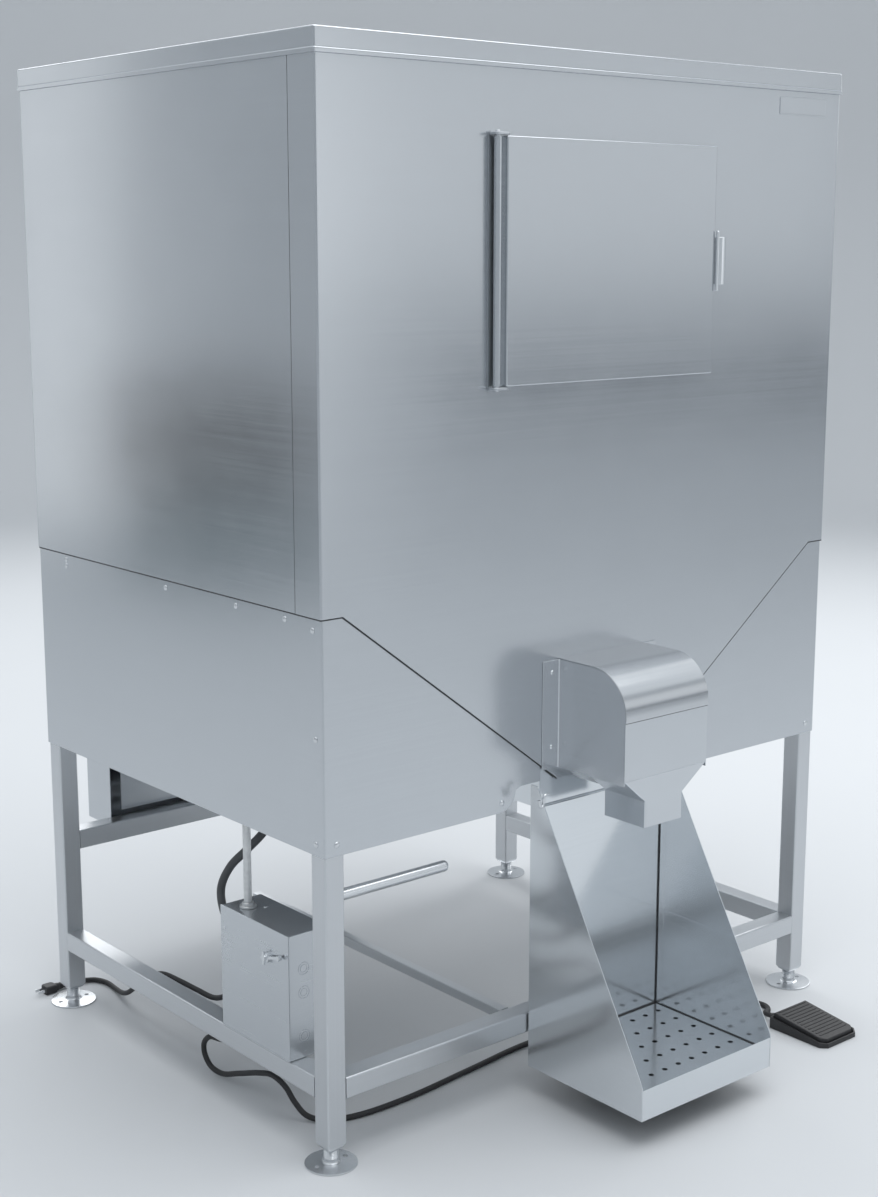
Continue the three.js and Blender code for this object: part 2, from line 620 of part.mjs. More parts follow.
function makeDrive() {
  const { x0, x1, y0, y1, z0, z1 } = GUARD;
  const openLeft = 24;
  const plate = block(x0 + openLeft, x1, y0 - SHEET, y0 + 0.2, z0 + 32, z1)
    .subtract(block(CENTRE - 62, CENTRE + 62, y0 - 10, y0 + 10, AUGER_Z - 82, AUGER_Z + 82));
  const shell = block(x0, x1, y0, y1, z0, z1)
    .subtract(block(x0 + SHEET, x1 - SHEET, y0 - 1, y1 - SHEET, z0 + SHEET, z1 - SHEET));
  const fitting = upY(pin(11, 12, 16)).translate([430, y0 - SHEET - 12, 600]);
  add("drive_guard", join(shell, plate, fitting), stainless);

  const bore = upY(pin(SHAFT_R + 0.5, 80)).translate([CENTRE, y0 - 4, AUGER_Z]);
  const gearbox = join(
    block(CENTRE - 56, CENTRE + 56, y0 + 4, y1 - 26, AUGER_Z - 74, AUGER_Z + 74),
    upX(pin(30, 20)).translate([CENTRE - 74, y0 + 40, AUGER_Z - 34]),
  ).subtract(bore);
  add("gearbox", gearbox, castAluminium);
  const motor = join(upX(pin(38, 190, 28)), upX(pin(33, 26, 28)).translate([-24, 0, 0]));
  add("motor", motor, motorPaint, [CENTRE - 74 - GAP - 190, y0 + 42, AUGER_Z - 34]);
}

// ---- Control box ----

function makeControlBox() {
  const { x0, x1, y0, y1, z0, z1 } = BOX;
  const wall = 1.5;
  const shell = block(x0, x1, y0 + 1, y1 - 1, z0, z1)
    .subtract(block(x0 - 1, x1 - wall, y0 + 1 + wall, y1 - 1 - wall, z0 + wall, z1 - wall));
  const cordFitting = pin(9, 12, 16).translate([68, 285, z0 - 12]);
  const powerFitting = upY(pin(9, 12, 16)).translate([62, y1 - 1, 196]);
  const conduitFitting = upY(pin(11, 14, 16)).translate([62, y1 - 1, 300]);
  add("box_body", join(shell, cordFitting, powerFitting, conduitFitting), stainless);
  add("box_door", block(x0 - 2.3, x0 - GAP, y0, y1, z0 + GAP, z1 + 1), stainless);

  const latch = join(
    upX(pin(7.5, 9, 16)),
    block(0, 4, -44, 0, -2, 3),
    upX(pin(4, 8, 12)).translate([-1, -43, 0.5]),
  );
  add("box_latch", latch, brightSteel, [x0 - 2.3 - GAP - 9, 171, 320]);

  const pipe = turned([[0, 0], [14.5, 0], [14.5, 4], [10, 4.5], [10, 9], [PIPE_R, 9.5], [PIPE_R, 520], [12, 521],
    [12, 540], [0, 540]], 16);
  add("conduit_pipe", pipe, galvanised, [36, 270, z1 + GAP]);
}

// ---- Foot switch ----

function makePedal() {
  const { x0, x1, y0, y1, back, front, base } = PEDAL;
  const corner = 12;
  const plan = [
    [x0, y0 + corner], [x0 + corner, y0], [x1 - corner, y0], [x1, y0 + corner], [x1, y1], [x0, y1],
  ];
  const middle = [(x0 + x1) / 2, (y0 + y1) / 2];
  const shrunk = (by) => plan.map(([x, y]) => [
    middle[0] + (x - middle[0]) * (1 - (2 * by) / (x1 - x0)),
    middle[1] + (y - middle[1]) * (1 - (2 * by) / (y1 - y0)),
  ]);
  // Everything above a plane that rises from front to back.
  const above = (lowFront, lowBack) => alongX(
    outline([[y0 - 5, lowFront], [y1 + 5, lowBack], [y1 + 5, 100], [y0 - 5, 100]]), x0 - 5, x1 + 5);
  const gland = upY(pin(7, 14, 12)).translate([x0 + 24, y1, 13]);
  const tray = alongZ(outline(plan), 0, 60)
    .subtract(above(9, base))
    .subtract(alongZ(outline(shrunk(3)), 3, 61));
  add("pedal_base", join(tray, gland), blackPlastic);
  const treadle = alongZ(outline(shrunk(5.6)), 0, 60)
    .subtract(above(front, back))
    .intersect(above(7, 20));
  add("pedal_treadle", treadle, blackRubber);
}

// ---- Cords ----

// Foot switch lead: out of the box's underside, a hanging loop behind the left rail, then along the floor.
const FOOT_CORD_ROUTE = [
  [68, 285, 139.8], [68, 285, 130], [66, 310, 104], [62, 360, 86], [57, 400, 78], [54, 430, 73.4],
  [53, 447, 58], [53, 450, 45], [53.5, 447, 32], [54, 430, 16.6], [55, 396, 14], [56, 340, 34],
  [57, 277, 58], [60, 240, 66], [66, 212, 54], [72, 192, 30], [80, 170, 12], [100, 146, 5.6],
  [150, 124, 5.6], [260, 118, 5.6], [420, 132, 5.6], [580, 146, 5.6], [740, 128, 5.6], [900, 82, 5.6],
  [1000, 40, 5.6], [1046, 4, 5.6], [1054, -30, 6], [1036, -53, 9], [1015, -63, 12.6], [1014, -80.6, 13],
];

// Mains lead: out of the back of the box, down behind the left rail and along the floor to its plug.
const POWER_CORD_ROUTE = [
  [62, 322.4, 196], [62, 334, 196], [61, 372, 172], [60, 420, 150], [60, 480, 146], [60, 540, 144],
  [61, 600, 138], [66, 660, 112], [74, 720, 72], [88, 780, 34], [102, 830, 14], [112, 870, 6],
  [114, 911, 5.6], [102.3, 939.3, 5.6], [74, 951, 6.4], [60, 951, 7.6], [44.2, 951, 8.5],
];

// Motor conduit: out of the back of the box, round and up under the funnel to the drive guard.
const CONDUIT_ROUTE = [
  [62, 324.4, 300], [62, 344, 300], [64, 386, 318], [68, 403, 360], [78, 388, 402], [96, 360, 438],
  [122, 340, 474], [158, 350, 514], [200, 400, 550], [246, 480, 576],
  [300, 590, 590], [360, 710, 598], [410, 806, 600], [428, 862, 600], [430, 899.5, 600],
];

function makeCords() {
  add("foot_cord", cordAlong(FOOT_CORD_ROUTE, FOOT_CORD_D, 80), blackRubber);
  add("power_cord", cordAlong(POWER_CORD_ROUTE, POWER_CORD_D, 42), blackRubber);
  add("motor_conduit", cordAlong(CONDUIT_ROUTE, CONDUIT_D, 40), greyRubber);
  const plug = join(
    upX(turned([[0, 0], [5.5, 0], [8, 26], [8, 27], [0, 27]], 12)),
    block(27, 50, -13, 13, -8, 10),
    block(50, 66, 5.5, 7, -3, 3.5),
    block(50, 66, -7, -5.5, -3, 3.5),
  );
  add("power_plug", plug.rotate([0, 0, 178]), blackRubber, [43.6, 951, 8.5]);
}

makeSkins();
makeSkirts();
makeHopperPan();
makeLid();
makeInsulation();
makeTank();
makeTrough();
makeAuger();
makeDoor();
makeHinge();
makeLatch();
makeChute();
makeBagStand();
makeFrame();
makeDrive();
makeControlBox();
makePedal();
makeCords();

// The origin is on the floor, midway between the feet and midway between the bag stand and the guard.
machine.position.set(-CENTRE, -(STAND_FRONT + GUARD.y1) / 2, 0);
const part = new THREE.Group();
part.add(machine);

export default part;
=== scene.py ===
import math

import bmesh
import bpy
from mathutils import Matrix, Vector


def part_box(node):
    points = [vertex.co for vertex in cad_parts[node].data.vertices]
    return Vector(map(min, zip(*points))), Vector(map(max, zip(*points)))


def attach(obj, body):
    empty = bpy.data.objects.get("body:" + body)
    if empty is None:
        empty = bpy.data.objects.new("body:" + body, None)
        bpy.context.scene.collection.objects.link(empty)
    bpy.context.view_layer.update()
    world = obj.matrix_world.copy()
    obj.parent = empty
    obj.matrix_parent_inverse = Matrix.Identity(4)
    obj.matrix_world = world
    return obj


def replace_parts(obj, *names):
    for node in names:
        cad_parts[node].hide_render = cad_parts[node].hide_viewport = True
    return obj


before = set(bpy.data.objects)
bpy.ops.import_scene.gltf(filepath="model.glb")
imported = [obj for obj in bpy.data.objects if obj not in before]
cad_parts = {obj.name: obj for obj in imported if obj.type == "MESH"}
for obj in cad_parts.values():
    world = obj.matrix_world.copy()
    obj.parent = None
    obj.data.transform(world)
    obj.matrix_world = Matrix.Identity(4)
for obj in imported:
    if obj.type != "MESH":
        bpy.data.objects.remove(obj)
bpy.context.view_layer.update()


# ---- Camera, floor, backdrop and lights ----
# A pale round studio with a floor that curves up into a wall, big soft lights, and dark cards that only
# show in the steel. Places are in millimetres from the foot of the lid's front left corner.
lid_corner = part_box("lid")[0]
CENTRE = (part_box("lid")[1].x - lid_corner.x) * 500


def at(x, y, z):
    return Vector((lid_corner.x + x / 1000, lid_corner.y + y / 1000, z / 1000))


scene = bpy.context.scene
scene.view_settings.view_transform = "Standard"
camera = bpy.data.objects.new("camera", bpy.data.cameras.new("camera"))
camera.data.lens = 54.67
camera.data.sensor_width = 36
camera.location = (-2.2234, -2.56745, 1.4861)
camera.rotation_euler = (math.radians(78.967), 0, math.radians(-40.03))
scene.collection.objects.link(camera)
scene.camera = camera


class Wire:
    """A node's output. Sums and products of wires add Math nodes, and node() adds any other."""

    def __init__(self, tree, socket=None):
        self.tree = tree
        self.socket = socket

    def node(self, kind, settings=None, inputs=None, output=0):
        made = self.tree.nodes.new("ShaderNode" + kind)
        for name, value in (settings or {}).items():
            if name == "stops":
                ramp = made.color_ramp.elements
                ramp[0].position, ramp[0].color = value[0]
                ramp[1].position, ramp[1].color = value[1]
                for position, color in value[2:]:
                    ramp.new(position).color = color
            else:
                setattr(made, name, value)
        for name, value in (inputs or {}).items():
            if isinstance(value, Wire):
                self.tree.links.new(value.socket, made.inputs[name])
            else:
                made.inputs[name].default_value = value
        return Wire(self.tree, made.outputs[output])

    def math(self, operation, a, b):
        return self.node("Math", {"operation": operation}, {0: a, 1: b})

    def __add__(self, other):
        return self.math("ADD", self, other)

    def __sub__(self, other):
        return self.math("SUBTRACT", self, other)

    def __rsub__(self, other):
        return self.math("SUBTRACT", other, self)

    def __mul__(self, other):
        return self.math("MULTIPLY", self, other)

    __radd__ = __add__
    __rmul__ = __mul__

    def noise(self, stretch, detail=2.0, roughness=0.5):
        """Noise whose grain is 1 / stretch metres long on each axis."""
        place = self.node("TexCoord", output="Object")
        scaled = self.node("VectorMath", {"operation": "MULTIPLY"}, {0: place, 1: stretch})
        inputs = {"Vector": scaled, "Scale": 1.0, "Detail": detail, "Roughness": roughness}
        return self.node("TexNoise", {}, inputs)

    def between(self, amount, first, second):
        """The first colour where amount is 0, the second where it is 1."""
        settings = {"data_type": "RGBA", "clamp_factor": True}
        return self.node("Mix", settings, {0: amount, 6: (*first, 1), 7: (*second, 1)}, 2)

    def bump(self, height, distance, normal=None):
        inputs = {"Height": height, "Distance": distance, "Strength": 1.0}
        if normal:
            inputs["Normal"] = normal
        return self.node("Bump", {}, inputs)


def finish(name, metallic=0.0, **constants):
    """A new material's shader and the wire to build its nodes from. Constants go straight on its sockets."""
    material = bpy.data.materials.new(name)
    material.use_nodes = True
    shader = material.node_tree.nodes["Principled BSDF"]
    shader.inputs["Metallic"].default_value = metallic
    for socket, value in constants.items():
        shader.inputs[socket.replace("_", " ")].default_value = value
    return material, shader, Wire(material.node_tree)


def feed(shader, wire, **sockets):
    for socket, value in sockets.items():
        wire.tree.links.new(value.socket, shader.inputs[socket.replace("_", " ")])


def studio_paint(name, colour):
    material, shader, wire = finish(name)
    mottle = wire.noise((0.7, 0.7, 0.7))
    feed(shader, wire, Base_Color=wire.between(mottle, [c * 0.97 for c in colour], colour))
    shader.inputs["Roughness"].default_value = 0.85
    return material


def studio_wall(radius, cove, height, steps=96):
    """A round floor that curves up into a wall, as one lathe."""
    profile = [(0.001, 0), (radius * 0.5, 0), (radius, 0)]
    for i in range(1, 13):
        angle = math.radians(90 * i / 12)
        profile.append((radius + cove * math.sin(angle), cove * (1 - math.cos(angle))))
    profile.append((radius + cove, height))
    shell = bmesh.new()
    rows = []
    for r, z in profile:
        turns = [2 * math.pi * k / steps for k in range(steps)]
        rows.append([shell.verts.new((r * math.cos(a), r * math.sin(a), z)) for a in turns])
    for low, high in zip(rows, rows[1:]):
        for k in range(steps):
            shell.faces.new((low[k], low[k - 1], high[k - 1], high[k])).smooth = True
    shell.faces.new(rows[0])
    bmesh.ops.recalc_face_normals(shell, faces=shell.faces)
    mesh = bpy.data.meshes.new("studio")
    shell.to_mesh(mesh)
    return mesh


studio = bpy.data.objects.new("studio", studio_wall(7.0, 2.2, 5.2))
studio.data.materials.append(studio_paint("studio_paint", (0.60, 0.615, 0.63)))
scene.collection.objects.link(studio)


def softbox(name, place, target, width, height, power, colour=(1, 1, 1)):
    light = bpy.data.objects.new(name, bpy.data.lights.new(name, "AREA"))
    light.data.shape = "RECTANGLE"
    light.data.size = width
    light.data.size_y = height
    light.data.energy = power
    light.data.color = colour
    light.location = place
    aim = Vector(target) - Vector(place)
    light.rotation_euler = aim.to_track_quat("-Z", "Y").to_euler()
    scene.collection.objects.link(light)
    return light


softbox("top_light", (0.2, -0.6, 4.7), (0, 0, 0), 5.0, 5.0, 150)
softbox("left_light", (-2.85, 4.7, 1.5), (-0.6, 0.3, 1.2), 0.6, 2.6, 3.6)
softbox("front_light", (2.5, -5.1, 1.4), (-0.4, -0.4, 1.2), 0.8, 2.6, 2.6)
softbox("wide_light", (3.6, -4.9, 2.0), (0.2, -0.4, 1.5), 4.2, 1.5, 7.5)
softbox("right_light", (4.8, 1.0, 3.0), (0, 0, 0.9), 2.4, 2.4, 60)
softbox("back_light", (1.5, 5.0, 3.4), (0, 0, 1.0), 3.0, 2.0, 60)

world = bpy.data.worlds.new("studio_air")
world.use_nodes = True
world.node_tree.nodes["Background"].inputs["Color"].default_value = (0.86, 0.91, 0.96, 1)
world.node_tree.nodes["Background"].inputs["Strength"].default_value = 0.95
scene.world = world


def card(name, left_end, right_end, low_z, high_z, colour):
    """A dark upright card that shows in reflections only and casts no shade."""
    mesh = bpy.data.meshes.new(name)
    corners = [(*left_end, low_z), (*right_end, low_z), (*right_end, high_z), (*left_end, high_z)]
    mesh.from_pydata(corners, [], [(0, 1, 2, 3)])
    flag = bpy.data.objects.new(name, mesh)
    mesh.materials.append(studio_paint(name + "_paint", colour))
    flag.visible_camera = False
    flag.visible_diffuse = False
    flag.visible_shadow = False
    scene.collection.objects.link(flag)


card("front_card", (2.75, -4.22), (5.3, -3.1), 0.72, 1.04, (0.10, 0.115, 0.135))
card("side_card", (-2.39, 3.38), (-2.73, 2.52), 0.58, 1.02, (0.004, 0.004, 0.006))
card("side_card_low", (-2.42, 3.36), (-2.76, 2.52), 0.22, 0.58, (0.08, 0.125, 0.14))


# ---- Cords and their fittings ----
# Two rubber-jacketed leads and a flexible motor conduit, each on one smooth run from its gland. The foot
# lead ends in the pedal's gland, the mains lead in a moulded plug, and the conduit in the drive guard.
FOOT_LEAD = [
    (68, 285, 139.8), (68, 285, 130), (66, 310, 104), (62, 360, 86), (57, 400, 78), (54, 430, 73.4),
    (53, 447, 58), (53, 450, 45), (53.5, 447, 32), (54, 430, 16.6), (55, 396, 14), (56, 340, 34),
    (57, 277, 58), (60, 240, 66), (66, 212, 54), (72, 192, 30), (80, 170, 12), (100, 146, 5.6),
    (150, 124, 5.6), (260, 118, 5.6), (420, 132, 5.6), (580, 146, 5.6), (740, 128, 5.6), (900, 82, 5.6),
    (1000, 40, 5.6), (1046, 4, 5.6), (1054, -30, 6), (1036, -53, 9), (1015, -63, 12.6), (1014, -80.6, 13),
]
MAINS_LEAD = [
    (62, 322.4, 196), (62, 334, 196), (61, 372, 172), (60, 420, 150), (60, 480, 146), (60, 540, 144),
    (61, 600, 138), (66, 660, 112), (74, 720, 72), (88, 780, 34), (102, 830, 14), (112, 870, 6),
    (114, 911, 5.6), (102.3, 939.3, 5.6), (74, 951, 6.4), (60, 951, 7.6), (44.2, 951, 8.5),
]
MOTOR_CONDUIT = [
    (62, 324.4, 300), (62, 344, 300), (64, 386, 318), (68, 403, 360), (78, 388, 402), (96, 360, 438),
    (122, 340, 474), (158, 350, 514), (200, 400, 550), (246, 480, 576),
    (300, 590, 590), (360, 710, 598), (410, 806, 600), (428, 862, 600), (430, 899.5, 600),
]


def jacket(name, colour, roughness, pits):
    material, shader, wire = finish(name)
    dust = wire.noise((9, 9, 9), 4.0)
    skin = wire.noise((pits, pits, pits), 2.0)
    paler = [c * 1.9 + 0.012 for c in colour]
    feed(shader, wire, Base_Color=wire.between(dust * 0.8, colour, paler),
         Roughness=dust * 0.18 + (roughness - 0.09), Normal=wire.bump(skin, 0.00012))
    return material


def smooth_run(points, per_span=8):
    """Points along the centripetal curve through the given ones, as the frame's tubes run."""
    places = [at(*p) for p in points]
    ends = [places[0] * 2 - places[1], *places, places[-1] * 2 - places[-2]]
    run = []
    for p0, p1, p2, p3 in zip(ends, ends[1:], ends[2:], ends[3:]):
        d0, d1, d2 = [max((b - a).length, 1e-6) ** 0.5 for a, b in ((p0, p1), (p1, p2), (p2, p3))]
        leave = ((p1 - p0) / d0 - (p2 - p0) / (d0 + d1) + (p2 - p1) / d1) * d1
        arrive = ((p2 - p1) / d1 - (p3 - p1) / (d1 + d2) + (p3 - p2) / d2) * d1
        for i in range(per_span):
            t = i / per_span
            run.append(p1 * (2 * t**3 - 3 * t**2 + 1) + leave * (t**3 - 2 * t**2 + t)
                       + p2 * (3 * t**2 - 2 * t**3) + arrive * (t**3 - t**2))
    return [*run, places[-1]]


def tube_along(name, run, radii, material, resolution=5):
    """A round tube on the run. radii is one radius, or one for each point."""
    curve = bpy.data.curves.new(name, "CURVE")
    curve.dimensions = "3D"
    curve.bevel_depth = 1.0
    curve.bevel_resolution = resolution
    curve.use_fill_caps = True
    spline = curve.splines.new("POLY")
    spline.points.add(len(run) - 1)
    for i, (point, place) in enumerate(zip(spline.points, run)):
        point.co = (*place, 1)
        point.radius = radii if isinstance(radii, float) else radii[i]
    curve.materials.append(material)
    made = bpy.data.objects.new(name, curve)
    scene.collection.objects.link(made)
    return made


def run_length(run):
    return sum((b - a).length for a, b in zip(run, run[1:]))


def relief_on(name, run, reach, thick, thin, material):
    """A ribbed, tapering sleeve over the first stretch of a run."""
    kept, covered = [run[0]], 0.0
    for a, b in zip(run, run[1:]):
        pieces = max(1, round((b - a).length / 0.0012))
        for i in range(1, pieces + 1):
            step = (b - a).length / pieces
            if covered + step > reach:
                break
            covered += step
            kept.append(a.lerp(b, i / pieces))
    radii = []
    for i in range(len(kept)):
        share = i / (len(kept) - 1)
        groove = 0.0009 if share > 0.15 and i % 4 == 0 else 0.0
        radii.append(thick + (thin - thick) * share - groove)
    sleeve = tube_along(name, kept, radii, material, 6)
    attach(sleeve, "cabinet")
    return sleeve


lead_rubber = jacket("lead_rubber", (0.012, 0.012, 0.013), 0.55, 900)
conduit_rubber = jacket("conduit_rubber", (0.05, 0.053, 0.056), 0.5, 700)
moulded_black = jacket("moulded_black", (0.014, 0.014, 0.015), 0.5, 1600)

foot_run = smooth_run(FOOT_LEAD)
mains_run = smooth_run(MAINS_LEAD)
conduit_run = smooth_run(MOTOR_CONDUIT)
foot_lead = tube_along("foot_lead", foot_run, 0.005, lead_rubber)
mains_lead = tube_along("mains_lead", mains_run, 0.005, lead_rubber)
motor_hose = tube_along("motor_hose", conduit_run, 0.0075, conduit_rubber)
for cord_piece, node, finish_slot in (
        (foot_lead, "foot_cord", "black_rubber"), (mains_lead, "power_cord", "black_rubber"),
        (motor_hose, "motor_conduit", "gasket_rubber")):
    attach(cord_piece, "cabinet")
    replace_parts(cord_piece, node)
foot_relief = relief_on("foot_lead_relief", foot_run, 0.034, 0.0082, 0.0058, moulded_black)
mains_relief = relief_on("mains_lead_relief", mains_run, 0.042, 0.0085, 0.0058, moulded_black)
hose_nut = relief_on("motor_hose_nut", conduit_run, 0.022, 0.0108, 0.0096, moulded_black)


def ring(axis, w, u0, u1, v0, v1, radius=0.2, steps=4):
    """A rectangle with round corners, square to the axis at w, as places in metres."""
    radius = max(min(radius, (u1 - u0) / 2 - 0.01, (v1 - v0) / 2 - 0.01), 0.05)
    corners = ((u1 - radius, v0 + radius, -90), (u1 - radius, v1 - radius, 0),
               (u0 + radius, v1 - radius, 90), (u0 + radius, v0 + radius, 180))
    points = []
    for u, v, start in corners:
        for i in range(steps + 1):
            angle = math.radians(start + 90 * i / steps)
            points.append((u + radius * math.cos(angle), v + radius * math.sin(angle)))
    return lay_out(axis, w, points)


def lay_out(axis, w, points):
    """Flat points as places: (y, z) across x, (x, z) across y, (x, y) across z."""
    if axis == "x":
        return [at(w, u, v) for u, v in points]
    if axis == "y":
        return [at(u, w, v) for u, v in points]
    return [at(u, v, w) for u, v in points]


def round_ring(axis, w, u, v, radius, steps=32):
    turns = [2 * math.pi * i / steps for i in range(steps)]
    return lay_out(axis, w, [(u + radius * math.cos(a), v + radius * math.sin(a)) for a in turns])


def loft(rings, loop=False):
    """A skin over rings of equal point counts, closed by caps or back onto its first ring."""
    shape = bmesh.new()
    rows = [[shape.verts.new(place) for place in points] for points in rings]
    count = len(rows[0])
    pairs = list(zip(rows, rows[1:]))
    if loop:
        pairs.append((rows[-1], rows[0]))
    for low, high in pairs:
        for i in range(count):
            shape.faces.new((low[i - 1], low[i], high[i], high[i - 1]))
    if not loop:
        shape.faces.new(rows[0])
        shape.faces.new(rows[-1])
    bmesh.ops.recalc_face_normals(shape, faces=shape.faces)
    return shape


def merged(*shapes):
    """Several shapes as one."""
    whole = shapes[0]
    for shape in shapes[1:]:
        mesh = bpy.data.meshes.new("part")
        shape.to_mesh(mesh)
        whole.from_mesh(mesh)
        bpy.data.meshes.remove(mesh)
    return whole


def show(name, shape, material, body="cabinet", stands_for=(), ease=0.0, smooth=32):
    """Turns a shape into a finished piece: eased edges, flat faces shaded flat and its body."""
    mesh = bpy.data.meshes.new(name)
    shape.to_mesh(mesh)
    shape.free()
    for face in mesh.polygons:
        face.use_smooth = True
    mesh.set_sharp_from_angle(angle=math.radians(smooth if ease == 0 else 80))
    mesh.materials.append(material)
    made = bpy.data.objects.new(name, mesh)
    scene.collection.objects.link(made)
    if ease > 0:
        bevel = made.modifiers.new("ease", "BEVEL")
        bevel.width = ease / 1000
        bevel.segments = 2
        bevel.limit_method = "ANGLE"
        bevel.angle_limit = math.radians(smooth)
        bevel.miter_outer = "MITER_ARC"
    weighted = made.modifiers.new("flat_faces", "WEIGHTED_NORMAL")
    weighted.weight = 100
    weighted.keep_sharp = True
    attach(made, body)
    if stands_for:
        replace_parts(made, *stands_for)
    return made


# The plug: a tapered grip, a body with finger ridges and two flat pins.
PLUG = (44, 951, 8.5)


def make_plug():
    x, y, z = PLUG
    grip = [round_ring("x", x - d, y, z, r) for d, r in
            ((0, 5.2), (1, 6.2), (6, 6.4), (7, 5.6), (9, 5.6), (10, 6.8), (15, 7.0), (16, 6.2), (18, 6.2),
             (19, 7.4), (26, 8.0))]
    block = [ring("x", x - d, y - s, y + s, z - min(s, 8.2), z + s * 0.72, 4) for d, s in
             ((24, 7), (26, 11), (30, 12.6), (46, 12.8), (48.5, 12.2), (49.5, 11))]
    pins = [loft([ring("x", x - d, y + side * 6.2 - s, y + side * 6.2 + s, z - 3 * t, z + 3 * t, 0.3)
                  for d, s, t in ((49, 0.75, 1), (64, 0.75, 1), (65.6, 0.4, 0.8))]) for side in (-1, 1)]
    return merged(loft(grip), loft(block)), merged(*pins)


plug_body, plug_pins = make_plug()
plug = show("mains_plug", plug_body, moulded_black, stands_for=("power_plug",), smooth=28)


# ---- Brushed steel ----
# Stainless sheet with a No. 4 brushed face: long level scratches, a slight cloudiness, and large shallow
# waves where the sheet isn't quite flat.
def brushed(name, colour, roughness, along, anisotropy=0.0, cloud=0.03, waves=0.0009):
    """along names the axes that the scratches run on."""
    material, shader, wire = finish(name, 0.87, Anisotropic=anisotropy, Anisotropic_Rotation=0.25)
    streaks = wire.noise([1.6 if axis in along else 330.0 for axis in "xyz"], 3.0, 0.55)
    scratches = wire.noise([7.0 if axis in along else 620.0 for axis in "xyz"], 2.0)
    clouds = wire.noise((3.1, 3.1, 3.1), 3.0)
    swell = wire.noise((2.1, 2.1, 2.1), 1.0)
    smears = wire.noise((11, 11, 17), 4.0, 0.6)
    shade = streaks * 0.5 + clouds * 0.25 + smears * 0.25
    dark = [c * 0.93 for c in colour]
    light = [min(1.0, c * 1.06) for c in colour]
    level = streaks * 0.06 + clouds * cloud * 2 + smears * 0.04 + (roughness - 0.05 - cloud)
    dents = wire.bump(swell, waves)
    feed(shader, wire, Base_Color=wire.between(shade, dark, light), Roughness=level,
         Normal=wire.bump(scratches, 0.0000012, dents))
    return material


SHEET_COLOUR = (0.565, 0.59, 0.615)
sheet_steel = brushed("sheet_steel", SHEET_COLOUR, 0.21, "xy", 0.3)
door_steel = brushed("door_steel", (0.575, 0.60, 0.625), 0.21, "xy", 0.3)
flat_steel = brushed("flat_steel", SHEET_COLOUR, 0.30, "x")
stand_steel = brushed("stand_steel", (0.74, 0.77, 0.795), 0.15, "xy", 0.0, 0.015, 0.0004)
liner_steel = brushed("liner_steel", (0.60, 0.615, 0.63), 0.3, "xy")
tube_steel = brushed("tube_steel", (0.60, 0.62, 0.64), 0.3, "z")
rail_x_steel = brushed("rail_x_steel", (0.60, 0.62, 0.64), 0.3, "x")
rail_y_steel = brushed("rail_y_steel", (0.60, 0.62, 0.64), 0.3, "y")
bright_steel = brushed("bright_steel", (0.70, 0.72, 0.74), 0.16, "z", 0.0, 0.02)
pins = show("mains_plug_pins", plug_pins, bright_steel)
run_length(foot_run)
run_length(mains_run)
run_length(conduit_run)


# ---- Upper skins ----
# Four 1.5 mm sheets. The front one is folded back round both corners, and its lower edges slant in to the
# outlet. The side sheets butt against its returns, and the back sheet closes the box behind them.
SHEET, GAP, SKIN_IN, SKIRT_IN, LAP_Y = 1.5, 0.3, 3.4, 5.4, 71.0
WIDTH, DEPTH, HEIGHT = 1219.2, 914.4, 1797.0
WAIST, V_FLOOR, SLOPE_START, SLOPE_END = 919.5, 571.0, 45.0, 510.0


def rounded(path, radius, steps=6):
    """An open path of flat points with its inner corners rounded."""
    points = [path[0]]
    for before, corner, after in zip(path, path[1:], path[2:]):
        a, c, b = Vector(before), Vector(corner), Vector(after)
        u, v = (a - c).normalized(), (b - c).normalized()
        turn = math.pi - u.angle(v)
        cut_back = radius * math.tan(turn / 2)
        middle = c + (u + v).normalized() * (radius / math.cos(turn / 2))
        start, end = c + u * cut_back - middle, c + v * cut_back - middle
        sweep = start.angle_signed(end)
        for i in range(steps + 1):
            points.append(tuple(middle + Matrix.Rotation(-sweep * i / steps, 2) @ start))
    return [*points, path[-1]]


def strip(path, thickness):
    """A closed outline: the path, and the same path moved to its left by the thickness."""
    moved = []
    for i, point in enumerate(path):
        before, after = path[max(i - 1, 0)], path[min(i + 1, len(path) - 1)]
        sides = []
        for a, b in ((before, point), (point, after)):
            run = Vector(b) - Vector(a)
            if run.length > 0:
                sides.append(Vector((-run.y, run.x)).normalized())
        middle = sum(sides, Vector((0, 0)))
        moved.append(tuple(Vector(point) + middle * (thickness * len(sides) / middle.length_squared)))
    return [*path, *reversed(moved)]


def prism(axis, outline, w0, w1):
    return loft([lay_out(axis, w0, outline), lay_out(axis, w1, outline)])


def slab(x0, x1, y0, y1, z0, z1):
    return prism("z", [(x0, y0), (x1, y0), (x1, y1), (x0, y1)], z0, z1)


def cut_away(shape, *cutters):
    """The shape less the cutters."""
    holders = []
    for source in (shape, *cutters):
        mesh = bpy.data.meshes.new("cutting")
        source.to_mesh(mesh)
        source.free()
        holder = bpy.data.objects.new("cutting", mesh)
        scene.collection.objects.link(holder)
        holders.append(holder)
    whole = holders[0]
    for cutter in holders[1:]:
        boolean = whole.modifiers.new("cut", "BOOLEAN")
        boolean.object = cutter
        boolean.operation = "DIFFERENCE"
        boolean.solver = "EXACT"
    bpy.context.view_layer.update()
    depsgraph = bpy.context.evaluated_depsgraph_get()
    result = bmesh.new()
    result.from_object(whole, depsgraph)
    bmesh.ops.remove_doubles(result, verts=result.verts, dist=1e-6)
    for holder in holders:
        bpy.data.objects.remove(holder)
    return result


def arc_points(u, v, radius, start, end, steps):
    turns = [math.radians(start + (end - start) * i / steps) for i in range(steps + 1)]
    return [(u + radius * math.cos(a), v + radius * math.sin(a)) for a in turns]


